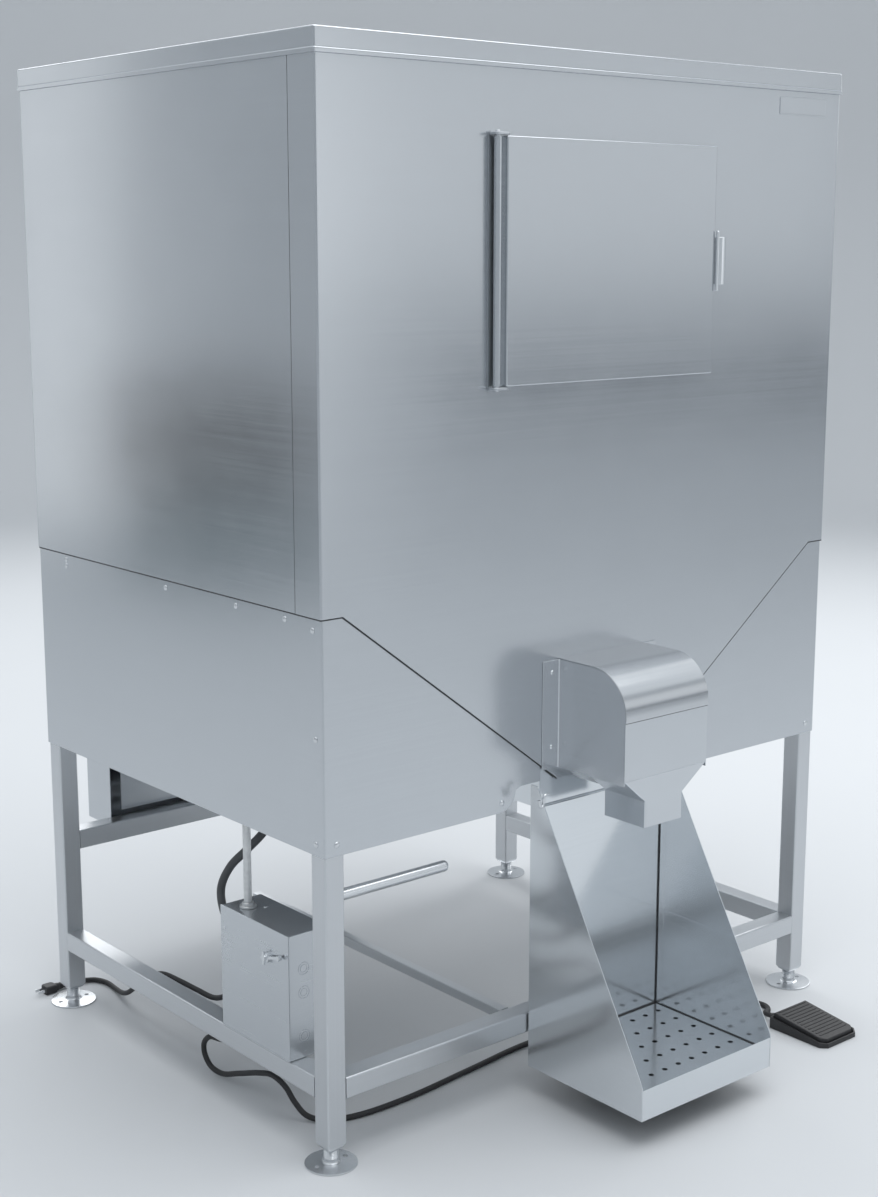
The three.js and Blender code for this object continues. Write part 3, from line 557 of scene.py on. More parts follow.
SKIN_TOP = HEIGHT - SHEET - GAP
NECK_X, NECK_Z = (388.0, 829.0), (1286.0, 1628.0)
AUGER_Z, TROUGH_R, OUTLET_TOP = 648.5, 97.0, 760.0


def front_sheet():
    edge = SKIN_IN - 0.7
    plan = [(edge, LAP_Y), (edge, SKIN_IN), (WIDTH - edge, SKIN_IN), (WIDTH - edge, LAP_Y)]
    folded = prism("z", strip(rounded(plan, 3.0), SHEET), V_FLOOR, SKIN_TOP)
    side_cut = [(-50, 500), (-50, WAIST), (SLOPE_START, WAIST), (SLOPE_END, V_FLOOR), (SLOPE_END, 500)]
    other_cut = [(WIDTH - x, z) for x, z in side_cut]
    outlet = [*arc_points(CENTRE, AUGER_Z, TROUGH_R + 2, 180, 360, 24),
              (CENTRE + TROUGH_R + 2, OUTLET_TOP), (CENTRE - TROUGH_R - 2, OUTLET_TOP)]
    return cut_away(folded, prism("y", side_cut, -50, 120), prism("y", other_cut, -50, 120),
                    slab(*NECK_X, -50, 50, *NECK_Z), prism("y", outlet, -50, 50))


show("front_sheet", front_sheet(), sheet_steel, stands_for=("front_skin",), ease=0.35)


def plain_sheet(node):
    """A flat sheet exactly where the frame has it."""
    low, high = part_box(node)
    low, high = (low - at(0, 0, 0)) * 1000, (high - at(0, 0, 0)) * 1000
    return slab(low.x, high.x, low.y, high.y, low.z, high.z)


for side in ("left", "right"):
    show(side + "_sheet", plain_sheet(side + "_skin"), sheet_steel,
         stands_for=(side + "_skin",), ease=0.35)


def back_sheet():
    y0 = DEPTH - SKIN_IN - SHEET
    left = [(SKIN_IN, SKIN_TOP), (SKIN_IN, WAIST), (SLOPE_START, WAIST), (SLOPE_END, V_FLOOR)]
    outline = [*left, *[(WIDTH - x, z) for x, z in reversed(left)]]
    shaft_hole = loft([round_ring("y", y, CENTRE, AUGER_Z, 22) for y in (y0 - 10, y0 + 10)])
    return cut_away(prism("y", outline, y0, y0 + SHEET), shaft_hole)


show("back_sheet", back_sheet(), sheet_steel, stands_for=("back_skin",), ease=0.35)


# ---- Lower skirts ----
# Each is one sheet bent round a front corner under the upper skins. Its front face ends in a round corner
# beside the bag stand.
def skirt():
    end, tuck, inner, radius, bottom = 470.0, 14.0, 424.0, 34.0, 534.0
    plan = [(SKIRT_IN, DEPTH - SKIRT_IN), (SKIRT_IN, SKIRT_IN), (end, SKIRT_IN)]
    folded = prism("z", strip(rounded(plan, 3.0), SHEET), bottom, WAIST + tuck)
    above = [(SLOPE_START, WAIST + tuck), (end, V_FLOOR + 44), (end + 50, V_FLOOR + 44),
             (end + 50, WAIST + 90), (SLOPE_START, WAIST + 90)]
    centre_x = inner - 12 - radius
    below = [(centre_x, bottom - 30), (centre_x, bottom),
             *arc_points(centre_x, bottom + radius, radius, -90, 0, 12)[1:],
             (inner, V_FLOOR + 2), (end + 50, V_FLOOR + 2), (end + 50, bottom - 30)]
    return cut_away(folded, prism("y", above, -20, 40), prism("y", below, -20, 40))


def mirrored(shape):
    """The shape on the machine's other side."""
    for vertex in shape.verts:
        vertex.co.x = 2 * at(CENTRE, 0, 0).x - vertex.co.x
    bmesh.ops.recalc_face_normals(shape, faces=shape.faces)
    return shape


show("left_skirt", skirt(), sheet_steel, stands_for=("skirt_left",), ease=0.35)
show("right_skirt", mirrored(skirt()), sheet_steel, stands_for=("skirt_right",), ease=0.35)


# ---- Seam shade ----
# A thin dark strip of painted shade along each joint, standing for the shadow in its gap: behind the front
# sheet's slanted edges, along both sides' level seams, and up the joint between each side sheet and the front
# sheet's return.
# The near-black colour below paints the shadow in the seam gaps; no sealant is there.
seam_shade_paint = jacket("seam_shade", (0.02, 0.021, 0.023), 0.6, 600)
SHADE_WIDTH, CHUTE_HALF = 2.2, 101.5


def slanted_shade_strip():
    line = [(SKIN_IN, WAIST), (SLOPE_START, WAIST), (SLOPE_END, V_FLOOR), (CENTRE - CHUTE_HALF - 4, V_FLOOR)]
    return prism("y", strip(line, -SHADE_WIDTH), SKIN_IN + 0.8, SKIRT_IN - 0.05)


def side_shade_strips():
    level = slab(SKIN_IN + 0.4, SKIRT_IN - 0.05, LAP_Y + 2, DEPTH - SKIN_IN - 2, WAIST - SHADE_WIDTH, WAIST + 1)
    corner = slab(SKIN_IN - 0.1, SKIRT_IN - 0.05, SKIN_IN + 2, LAP_Y + 2, WAIST - SHADE_WIDTH, WAIST + 1)
    upright = slab(SKIN_IN - 0.35, SKIN_IN - 0.02, LAP_Y - 0.1, LAP_Y + 1.5, WAIST, SKIN_TOP - 2)
    return merged(level, corner, upright)


show("left_seam_shade", merged(slanted_shade_strip(), side_shade_strips()), seam_shade_paint)
show("right_seam_shade", mirrored(merged(slanted_shade_strip(), side_shade_strips())), seam_shade_paint)


# ---- Lid and inlet cover ----
# One sheet folded down all round, with a hem that flares at its lower edge, and a loose pan over the inlet.
LID_SKIRT = 38.0
INLET_X, INLET_Y = 360.0, 250.0


def lid():
    low = HEIGHT - LID_SKIRT
    edge = 1.1
    section = [(edge, low + 9), (edge - 0.3, low + 7.4), (0.1, low + 6.6), (0.0, low + 5.8), (0.0, low + 1.0),
               (0.3, low + 0.3), (1.0, low), (2.0, low + 0.3), (2.6, low + 1.2), (2.6, low + 5),
               (edge + SHEET, low + 8), (edge + SHEET, HEIGHT - SHEET)]
    fold = 2.6
    outside = [(edge + fold - fold * math.cos(a), HEIGHT - fold + fold * math.sin(a))
               for a in [math.radians(90 * i / 6) for i in range(6, -1, -1)]]
    rings = [ring("z", z, inset, WIDTH - inset, inset, DEPTH - inset, 2.4)
             for inset, z in [*outside, *section]]
    opening = [ring("z", z, INLET_X, WIDTH - INLET_X, INLET_Y, DEPTH - INLET_Y - 0.4, 3)
               for z in (HEIGHT - SHEET, HEIGHT)]
    return loft([*rings, *opening], loop=True)


show("lid_sheet", lid(), sheet_steel, stands_for=("lid",))


def cover_level(x, z, radius):
    y = x - (INLET_X - INLET_Y)
    return ring("z", z, x, WIDTH - x, y, DEPTH - y, radius)


def inlet_cover():
    """A flat plate with an eased edge, and a low wall under it that drops into the opening."""
    z = HEIGHT + GAP
    plate = [(346, z), (346, z + 1.1), (346.4, z + 1.5), (358, z + 1.5), (380, z + 1.5), (384, z + 1.5)]
    wall = [(363.5, z), (363.5, z - 14), (362, z - 14), (362, z)]
    return merged(loft([cover_level(x, height, 5) for x, height in plate]),
                  loft([cover_level(x, height, 4) for x, height in wall], loop=True))


show("inlet_cover_pan", inlet_cover(), flat_steel, body="inlet_cover",
     stands_for=("inlet_cover",))


# ---- Tank, funnel and insulation ----
# Satin food-grade liner sheets, the pan under the funnel, the screw's trough and the foam between them keep
# the frame's own shapes.
foam_body, foam_shader, foam_wire = finish("poured_foam")
cells = foam_wire.noise((160, 160, 160), 3.0)
tan = foam_wire.noise((6, 6, 6), 2.0)
feed(foam_shader, foam_wire, Base_Color=foam_wire.between(tan, (0.72, 0.62, 0.36), (0.84, 0.76, 0.52)),
     Normal=foam_wire.bump(cells, 0.0012))
foam_shader.inputs["Roughness"].default_value = 0.9


def dress(node, material):
    """Gives a node of the frame its finish."""
    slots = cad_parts[node].data.materials
    slots.clear()
    slots.append(material)


for liner in ("liner_left", "liner_right", "liner_front", "liner_back"):
    dress(liner, liner_steel)
# The pan under the funnel takes the bright stand steel, lighter than its own sheet: painted light that lifts
# the shade under the cabinet.
dress("hopper_pan", stand_steel)
dress("auger_trough", rail_y_steel)
dress("insulation", foam_body)


# ---- Screw ----
# A flight welded round a solid shaft, with a polished edge, turning in a cast bearing at the back.
def screw():
    start, end = -48.0, DEPTH - 55 - 16
    shaft_r, flight_r, pitch, thickness, per_turn = 16.0, 88.0, 170.0, 3.0, 48
    shaft = loft([round_ring("y", y, CENTRE, AUGER_Z, r) for y, r in
                  ((start, shaft_r - 1), (start + 1, shaft_r), (969, shaft_r), (970, shaft_r - 1))])
    length = end - start - 10
    steps = round(length / pitch * per_turn)
    rows = []
    for i in range(steps + 1):
        angle = 2 * math.pi * i / per_turn
        y = start + 4 + i / steps * length
        section = ((shaft_r - 1, 0), (flight_r - 0.6, 0), (flight_r, 0.6), (flight_r, thickness - 0.6),
                   (flight_r - 0.6, thickness), (shaft_r - 1, thickness))
        rows.append([at(CENTRE + r * math.cos(angle), y + dy, AUGER_Z + r * math.sin(angle))
                     for r, dy in section])
    return merged(shaft, loft(rows))


show("ice_screw", screw(), bright_steel, body="auger", stands_for=("auger",), smooth=40)
cast_alloy, cast_shader, cast_wire = finish("cast_alloy", 0.85)
sand = cast_wire.noise((420, 420, 420), 3.0)
stain = cast_wire.noise((14, 14, 14), 3.0)
feed(cast_shader, cast_wire, Base_Color=cast_wire.between(stain, (0.36, 0.37, 0.38), (0.52, 0.53, 0.54)),
     Roughness=stain * 0.2 + 0.42, Normal=cast_wire.bump(sand, 0.0004))
dress("auger_bearing", cast_alloy)


# ---- Door ----
# A shallow stainless pan filled with foam behind a white inner moulding, closed on a grey gasket round a
# plastic throat through the wall.
DOOR_X, DOOR_Z = (362.0, 855.0), (1260.0, 1654.0)
DOOR_FRONT, DOOR_BACK = -19.0, -5.0
HINGE_X, HINGE_Y = 350.0, -9.0
white_moulding = jacket("white_moulding", (0.74, 0.75, 0.74), 0.42, 500)
gasket_rubber = jacket("gasket_rubber", (0.06, 0.062, 0.065), 0.62, 900)


def around(axis, w, inset, radius, bounds):
    (u0, u1), (v0, v1) = bounds
    return ring(axis, w, u0 + inset, u1 - inset, v0 + inset, v1 - inset, radius, 5)


def door_pan():
    fold = 2.4
    skin = [(DOOR_FRONT + fold - fold * math.cos(a), fold - fold * math.sin(a))
            for a in [math.radians(90 * i / 6) for i in range(7)]]
    lip = [(DOOR_BACK - 0.4, 0.0), (DOOR_BACK, 0.4), (DOOR_BACK, 1.1), (DOOR_BACK - 0.4, 1.5),
           (DOOR_FRONT + 2.0, 1.5)]
    pan = loft([around("y", y, inset, 2.6 - inset * 0.5, (DOOR_X, DOOR_Z)) for y, inset in [*skin, *lip]])
    z0, z1 = DOOR_Z[0] + 1, DOOR_Z[1] - 1
    curl = loft([round_ring("z", z, HINGE_X, HINGE_Y, r, 28) for z, r in
                 ((z0, 4.7), (z0, 6.2), (z0 + 0.4, 6.6), (z1 - 0.4, 6.6), (z1, 6.2), (z1, 4.7))], loop=True)
    web = slab(HINGE_X + 5.4, DOOR_X[0] + 1, HINGE_Y - 1, HINGE_Y + 1, z0, z1)
    return merged(pan, curl, web)


show("door_pan", door_pan(), door_steel, body="door", stands_for=("door_panel",))
dress("door_core", white_moulding)


def gasket():
    """A bellows lip: wide at the door, pinched in the middle, soft and round where it meets the skin."""
    section = [(6.5, -4.9), (6.2, -3.2), (8, -1.6), (6.6, 0.2), (8, 2.2), (12, 3.0), (18, 2.6), (21.4, 0.6),
               (19.6, -1.4), (21.8, -3.2), (21.5, -4.9)]
    return loft([around("y", y, inset, 8, (DOOR_X, DOOR_Z)) for inset, y in section], loop=True)


show("door_seal", gasket(), gasket_rubber, body="door", stands_for=("door_gasket",),
     smooth=60)


def throat():
    bounds = ((NECK_X[0] + 0.5, NECK_X[1] - 0.5), (NECK_Z[0] + 0.5, NECK_Z[1] - 0.5))
    section = [(0, SKIN_IN + 0.5), (0.5, SKIN_IN), (3, SKIN_IN), (3.5, SKIN_IN + 0.5), (3.5, 55.0), (0, 56.5)]
    return loft([around("y", y, inset, 3, bounds) for inset, y in section], loop=True)


show("door_frame", throat(), white_moulding, stands_for=("door_throat",))


def hinge_lug(z0, z1):
    """A round-cornered lug that holds one end of the hinge rod."""
    return loft([ring("z", z, HINGE_X - 11 + i, HINGE_X + 20 - i, HINGE_Y - 9 + i, SKIN_IN - 1.3 + i * 0.2,
                      5, 6) for z, i in ((z0, 0.5), (z0 + 0.5, 0), (z1 - 0.5, 0), (z1, 0.5))])


def hinge_leaf():
    low, high = DOOR_Z[0] - 5, DOOR_Z[1] + 5
    strip_back = slab(HINGE_X - 11, HINGE_X + 8, SKIN_IN - 1.5, SKIN_IN - GAP, low, high)
    return merged(strip_back, hinge_lug(low, low + 4), hinge_lug(high - 4, high))


show("hinge_leaf", hinge_leaf(), flat_steel, stands_for=("hinge_bracket",))


def turned(x, y, profile, steps=32):
    """An upright turning from (radius, z) steps."""
    return loft([round_ring("z", z, x, y, max(radius, 0.05), steps) for radius, z in profile])


rod_low, rod_high = DOOR_Z[0] - 8, DOOR_Z[1] + 8
show("hinge_pin", turned(HINGE_X, HINGE_Y, [(3.4, rod_low), (4.2, rod_low + 0.8), (4.2, rod_high - 0.8),
                                            (3.4, rod_high)]), bright_steel,
     stands_for=("hinge_rod",))


LATCH_X, LATCH_Y, LATCH_LOW, LATCH_HIGH = 868.5, -14.5, 1416.0, 1498.0


def half_round(radius, start, end, thickness, z0, z1):
    """A half-round strip about the latch's centre, open towards the wall."""
    return prism("z", strip(arc_points(LATCH_X, LATCH_Y, radius, start, end, 20), thickness), z0, z1)


def latch():
    paddle = half_round(13.0, 180, 360, 2.6, LATCH_LOW, LATCH_HIGH)
    pin = turned(857.5, -22.5, [(2.2, LATCH_LOW - 11), (3, LATCH_LOW - 10), (3, LATCH_HIGH + 10),
                                (2.2, LATCH_HIGH + 11)], 20)
    web = slab(855.4, 859.5, -24, LATCH_Y, LATCH_LOW, LATCH_HIGH)
    return merged(paddle, pin, web)


latch_steel = brushed("latch_steel", (0.80, 0.82, 0.84), 0.14, "z", 0.0, 0.02, 0.0)
show("latch_paddle", latch(), latch_steel, body="door_latch",
     stands_for=("door_latch",), ease=0.5)
# A black strip inside the paddle: painted shade for its shadowed inner face, which also gives a dark
# reflection in the door.
latch_shade_strip = half_round(10.2, 182, 358, 0.9, LATCH_LOW + 1.5, LATCH_HIGH - 1.5)
show("latch_inner_shade", latch_shade_strip, moulded_black, body="door_latch")
show("latch_keeper", slab(863, 877, -9, SKIN_IN - GAP, 1440, 1474), bright_steel,
     stands_for=("door_strike",), ease=0.8)


# ---- Outlet chute ----
# Two flanged cheeks, a front plate and a narrow spout, welded, under a hood rolled from one sheet.
CHUTE_FRONT, CHUTE_TOP, CHUTE_BOTTOM, HOOD_LIP, ROLL = -159.0, 785.0, 597.0, 702.0, 76.0


def cheek():
    x = CENTRE - CHUTE_HALF
    back = SKIN_IN - GAP
    plan = [(x - 38, back - SHEET), (x, back - SHEET), (x, CHUTE_FRONT)]
    folded = prism("z", strip(rounded(plan, 2.6), SHEET), CHUTE_BOTTOM - 5, CHUTE_TOP - 0.4)
    rolled = arc_points(CHUTE_FRONT + ROLL, CHUTE_TOP - ROLL, ROLL - GAP, 90, 180, 24)
    corner = [*rolled, (CHUTE_FRONT + GAP, CHUTE_TOP + 40), (CHUTE_FRONT + ROLL, CHUTE_TOP + 40)]
    front = [(CHUTE_FRONT - 10, CHUTE_BOTTOM - 40), (CHUTE_FRONT + GAP, CHUTE_BOTTOM - 40),
             (CHUTE_FRONT + GAP, CHUTE_TOP + 50), (CHUTE_FRONT - 10, CHUTE_TOP + 50)]
    return cut_away(folded, prism("x", corner, x - 60, x + 20), prism("x", front, x - 60, x + 20))


def spout():
    wide = (CENTRE - CHUTE_HALF, CENTRE + CHUTE_HALF, CHUTE_FRONT, -63.0)
    narrow = (CENTRE - 46, CENTRE + 46, -155.0, -58.0)
    levels = [(508, narrow), (555, narrow), (CHUTE_BOTTOM + 3, wide)]
    outer = [ring("z", z, *box, 2.2) for z, box in levels]
    inner = [ring("z", z, x0 + SHEET, x1 - SHEET, y0 + SHEET, y1 - SHEET, 1.2)
             for z, (x0, x1, y0, y1) in reversed(levels)]
    return loft([*outer, *inner], loop=True)


front_plate = slab(CENTRE - CHUTE_HALF, CENTRE + CHUTE_HALF, CHUTE_FRONT, CHUTE_FRONT + SHEET,
                   CHUTE_BOTTOM + 3, HOOD_LIP + 6)
chute_steel = brushed("chute_steel", (0.61, 0.635, 0.66), 0.24, "xy", 0.2)
show("chute_sheets", merged(cheek(), mirrored(cheek()), front_plate, spout()), chute_steel,
     stands_for=("chute_body",), ease=0.35)


def hood():
    back = SKIN_IN - GAP - SHEET
    roll = arc_points(CHUTE_FRONT + ROLL, CHUTE_TOP - ROLL, ROLL + GAP, 90, 180, 32)
    path = [(back + SHEET, CHUTE_TOP + GAP), *roll, (CHUTE_FRONT - GAP, HOOD_LIP)]
    return prism("x", strip(path, -SHEET), CENTRE - CHUTE_HALF, CENTRE + CHUTE_HALF)


# A dark strip under the hood's lip: painted shade for the shadow line where the hood stands off the front
# plate.
hood_lip_shade_strip = slab(CENTRE - CHUTE_HALF + 1, CENTRE + CHUTE_HALF - 1, CHUTE_FRONT - 1.2, CHUTE_FRONT + 0.2,
                HOOD_LIP - 1.0, HOOD_LIP + 1)
show("hood_lip_shade", hood_lip_shade_strip, seam_shade_paint)
hood_steel = brushed("hood_steel", (0.60, 0.62, 0.64), 0.2, "x", 0.0, 0.03)
show("chute_cap", hood(), hood_steel, stands_for=("chute_hood",), ease=0.35)


# ---- Bag stand ----
# Bright, nearly mirror-like sheets: two slanting sides, a back, and a floor with round drain holes whose
# front edge is turned up and down into a lip, over a dark sheet of painted shade that darkens the holes. A
# bent wire hook on each side holds the bag.
STAND_HALF, STAND_FRONT, STAND_BOTTOM, STAND_TOP = 163.6, -274.5, 52.0, 572.0
BAG_FLOOR_Z, LAP_TOP = 82.0, V_FLOOR - 46


def stand_side():
    x = CENTRE - STAND_HALF
    profile = [(4, STAND_BOTTOM), (4, STAND_TOP), (-12, STAND_TOP), (-270, 120), (STAND_FRONT, 110),
               (STAND_FRONT, STAND_BOTTOM)]
    side = prism("x", profile, x, x + SHEET)
    lap = slab(x + SHEET, x + SHEET + 1.0, -13, 2, BAG_FLOOR_Z + 0.4, LAP_TOP)
    return merged(side, lap)


def stand_ledge():
    """The narrow lap across the right side's inner face, up to the slanted edge."""
    x, z = CENTRE + STAND_HALF - SHEET, 268.0
    slant = -12 - (STAND_TOP - z) * (258 / (STAND_TOP - 120))
    return slab(x - 0.9, x, slant + 6, -1, z - 1.6, z + 1.6)


show("stand_left", stand_side(), stand_steel, stands_for=("bag_stand_left",), ease=0.3)
show("stand_right", merged(mirrored(stand_side()), stand_ledge()), stand_steel,
     stands_for=("bag_stand_right",), ease=0.3)
show("stand_back", plain_sheet("bag_stand_back"), stand_steel,
     stands_for=("bag_stand_back",), ease=0.3)


class Grove:
    """Builds a Geometry Nodes tree: named inputs, nodes by type, and a modifier that holds it."""

    def __init__(self, name):
        self.tree = bpy.data.node_groups.new(name, "GeometryNodeTree")
        self.tree.interface.new_socket("Geometry", in_out="OUTPUT", socket_type="NodeSocketGeometry")
        self.tree.interface.new_socket("Geometry", in_out="INPUT", socket_type="NodeSocketGeometry")
        self.sockets = {}
        self.start = None

    def size(self, name, kind="NodeSocketFloat"):
        made = self.tree.interface.new_socket(name, in_out="INPUT", socket_type=kind)
        self.sockets[name] = made.identifier

    def given(self, name):
        if self.start is None:
            self.start = self.tree.nodes.new("NodeGroupInput")
        return self.start.outputs[name]

    def node(self, kind, settings=None, output=0, **inputs):
        made = self.tree.nodes.new(kind)
        for name, value in (settings or {}).items():
            setattr(made, name, value)
        for name, value in inputs.items():
            numbered = name[0] == "i" and name[1:].isdigit()
            socket = made.inputs[int(name[1:]) if numbered else name]
            if isinstance(value, bpy.types.NodeSocket):
                self.tree.links.new(value, socket)
            else:
                socket.default_value = value
        return made.outputs[output]

    def finish(self, geometry, material):
        """Ends the tree in Realize Instances and Set Material."""
        real = self.node("GeometryNodeRealizeInstances", i0=geometry)
        painted = self.node("GeometryNodeSetMaterial", i0=real, Material=material)
        self.tree.links.new(painted, self.tree.nodes.new("NodeGroupOutput").inputs[0])

    def grow(self, source, **values):
        """The tree's result on a source mesh, as a shape."""
        holder = bpy.data.objects.new("grown", source)
        scene.collection.objects.link(holder)
        modifier = holder.modifiers.new("grow", "NODES")
        modifier.node_group = self.tree
        for name, value in values.items():
            modifier[self.sockets[name]] = value
        bpy.context.view_layer.update()
        grown = bpy.data.meshes.new_from_object(holder.evaluated_get(bpy.context.evaluated_depsgraph_get()))
        holder.modifiers.remove(modifier)
        bpy.data.objects.remove(holder)
        shape = bmesh.new()
        shape.from_mesh(grown)
        bmesh.ops.remove_doubles(shape, verts=shape.verts, dist=1e-6)
        return shape


def points_mesh(places, facings=None):
    """A mesh of loose points, with the way that each one faces."""
    mesh = bpy.data.meshes.new("points")
    mesh.from_pydata([tuple(p) for p in places], [], [])
    if facings:
        facing = mesh.attributes.new("facing", "FLOAT_VECTOR", "POINT")
        facing.data.foreach_set("vector", [c for f in facings for c in f])
    return mesh


# The drain holes: a grid of round cutters taken out of the tray.
HOLE_STEP_X, HOLE_STEP_Y, HOLE_D = 34.25, 44.2, 9.6
INSIDE_X = (CENTRE - STAND_HALF + SHEET + GAP, CENTRE + STAND_HALF - SHEET - GAP)


def tray():
    x0, x1 = INSIDE_X
    lip_top = 107.0
    front = STAND_FRONT + SHEET
    plate = prism("x", strip(rounded([(0.4, BAG_FLOOR_Z - SHEET), (front, BAG_FLOOR_Z - SHEET)], 1), -SHEET),
                  x0, x1)
    lip = loft([ring("y", y, x0 + i, x1 - i, STAND_BOTTOM + i, lip_top - i, 1.2) for y, i in
                ((STAND_FRONT, 0.5), (STAND_FRONT + 0.4, 0), (front - 0.3, 0), (front, 0.3))])
    holes = Grove("drain_holes")
    holes.size("Hole Diameter")
    holes.size("Depth")
    radius = holes.node("ShaderNodeMath", {"operation": "MULTIPLY"}, i0=holes.given("Hole Diameter"), i1=0.5)
    drill = holes.node("GeometryNodeMeshCylinder", Vertices=20, Radius=radius, Depth=holes.given("Depth"))
    grid = holes.node("GeometryNodeInstanceOnPoints", Points=holes.given("Geometry"), Instance=drill)
    holes.finish(grid, stand_steel)
    places = [at(CENTRE + i * HOLE_STEP_X, -28 - k * HOLE_STEP_Y, BAG_FLOOR_Z - SHEET / 2)
              for i in range(-4, 5) for k in range(6)]
    drills = holes.grow(points_mesh(places), **{"Hole Diameter": HOLE_D / 1000, "Depth": 0.012})
    return merged(cut_away(plate, drills), lip)


show("stand_tray", tray(), stand_steel, stands_for=("bag_floor",), smooth=50)
# A near-black sheet under the tray: painted shade beneath the floor, so the drain holes read dark.
under_tray_shade_steel = brushed("under_tray_shade_steel", (0.10, 0.105, 0.11), 0.5, "x")
under_tray_shade = slab(*INSIDE_X, STAND_FRONT + 0.6, 1.7, STAND_BOTTOM + 0.2, STAND_BOTTOM + SHEET)
show("stand_under_shade", under_tray_shade, under_tray_shade_steel)


def stand_corner_shade():
    """Painted shade: dark strips along the floor's back and sides, and up the back corners, for the shadow in
    those joints.
    """
    x0, x1 = INSIDE_X
    low = BAG_FLOOR_Z - 0.4
    back = slab(x0, x1, -0.8, 1.9, low, BAG_FLOOR_Z + 1.3)
    sides = [slab(x, x + 2, STAND_FRONT + 3, -0.9, low, BAG_FLOOR_Z + 1.2) for x in (x0 - 0.2, x1 - 1.8)]
    corners = [slab(x, x + 1.4, 0.2, 1.9, BAG_FLOOR_Z + 1.4, LAP_TOP) for x in (x0 + 0.9, x1 - 2.3)]
    return merged(back, *sides, *corners)


show("stand_corner_shade", stand_corner_shade(), seam_shade_paint)


def hook(name, side):
    x = CENTRE + side * STAND_HALF
    bend = [(0.3, 565), (5, 565), (8.5, 563.6), (10.4, 560), (10.8, 554), (12, 548), (16, 545), (20, 547.6),
            (21.4, 553), (21.6, 558)]
    run = smooth_run([(x + side * out, -40, z) for out, z in bend], 6)
    wire_hook = tube_along(name, run, 0.0026, bright_steel, 4)
    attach(wire_hook, "cabinet")
    return wire_hook


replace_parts(hook("hook_left", -1), "bag_hook_left")
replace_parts(hook("hook_right", 1), "bag_hook_right")


# ---- Frame ----
# Legs and rails of square tube, welded and ground flush, and feet with a flange on a screw that threads
# into a chamfered plug in each leg.
TUBE, RAIL_Z, REAR_RAIL_Z, FRAME_IN = 38.1, 114.0, 317.0, 7.2
LEG_BOTTOM, STEM_R, FOOT_R = 36.0, 12.7, 44.45
NEAR = FRAME_IN + TUBE / 2
CORNERS = {
    "front_left": (NEAR, NEAR), "front_right": (WIDTH - NEAR, NEAR),
    "back_left": (NEAR, DEPTH - NEAR), "back_right": (WIDTH - NEAR, DEPTH - NEAR),
}


def square_ring(axis, w, u, v, half, radius):
    return ring(axis, w, u - half, u + half, v - half, v + half, radius)


def leg(x, y):
    half = TUBE / 2
    tube_levels = [(WAIST - 1, half, 3.5), (LEG_BOTTOM + 0.4, half, 3.5), (LEG_BOTTOM, half - 0.4, 3.2)]
    plug_levels = [(LEG_BOTTOM - 0.1, half - 1.2, 3), (LEG_BOTTOM - 1, half - 1.4, 3),
                   (LEG_BOTTOM - 6, 14.5, 2)]
    return loft([square_ring("z", z, x, y, reach, radius)
                 for z, reach, radius in [*tube_levels, *plug_levels]])


def foot_disc(x, y):
    body = turned(x, y, [(FOOT_R - 0.6, 0), (FOOT_R, 0.5), (FOOT_R, 2.3), (FOOT_R - 0.5, 3.0),
                         (FOOT_R - 2, 3.3), (STEM_R + 6, 3.9), (STEM_R + 2, 4.8), (STEM_R + 0.5, 6.4),
                         (STEM_R, 8.5)], 64)
    return cut_away(body, *[turned(x + side * 29, y, [(4.2, -2), (4.2, 12)], 24) for side in (-1, 1)])


def foot_stem(x, y):
    """The screw, with its thread cut as rings down to the flange's neck."""
    profile = [(STEM_R, 8.3), (STEM_R, 12)]
    for i in range(12):
        z = 13 + i * 1.5
        profile += [(STEM_R, z), (STEM_R - 0.7, z + 0.75)]
    return turned(x, y, [*profile, (STEM_R, 31.5), (STEM_R, 80)], 48)


foot_steel = brushed("foot_steel", (0.66, 0.68, 0.70), 0.26, "xy", 0.0, 0.04)
for corner_name, (leg_x, leg_y) in CORNERS.items():
    show("post_" + corner_name, leg(leg_x, leg_y), tube_steel,
         stands_for=("leg_" + corner_name,))
    show("flange_foot_" + corner_name, merged(foot_disc(leg_x, leg_y), foot_stem(leg_x, leg_y)), foot_steel,
         body="foot_" + corner_name, stands_for=("foot_" + corner_name,), smooth=40)

inner = FRAME_IN + TUBE - 0.2


def rail(axis, u, v, half, w0, w1, radius=3.5):
    return loft([square_ring(axis, w, u, v, half, radius) for w in (w0, w1)])


RAIL_MID = RAIL_Z + TUBE / 2
for name, shape, material in (
        ("rail_left", rail("y", NEAR, RAIL_MID, TUBE / 2, inner, DEPTH - inner), rail_y_steel),
        ("rail_right", rail("y", WIDTH - NEAR, RAIL_MID, TUBE / 2, inner, DEPTH - inner), rail_y_steel),
        ("rail_front", rail("x", NEAR, RAIL_MID, TUBE / 2, inner, WIDTH - inner), rail_x_steel),
        ("rail_rear", rail("x", DEPTH - NEAR, REAR_RAIL_Z + TUBE / 2, TUBE / 2, inner, WIDTH - inner),
         rail_x_steel)):
    show(name.replace("rail", "tube"), shape, material, stands_for=(name,))


def middle_rail():
    x, half, end = 425.5, 9.5, 820.0
    run = rail("y", x, RAIL_Z + TUBE - half, half, inner, end, 2)
    post = rail("z", x, end - half, half - 0.4, 12, RAIL_Z + TUBE - 1, 2)
    pad = turned(x, end - half, [(10.4, 0), (11, 0.5), (13, 3), (13, 11), (12, 12)], 28)
    return merged(run, post, pad)


show("tube_middle", middle_rail(), rail_y_steel, stands_for=("rail_middle",))


def roll_rod():
    x0, z = FRAME_IN + TUBE, 459.0
    ends = [(0, 9.7), (221, 9.7), (225, 9.2), (227.6, 7.4), (229, 4)]
    return loft([round_ring("x", x0 + d, NEAR, z, r, 32) for d, r in ends])


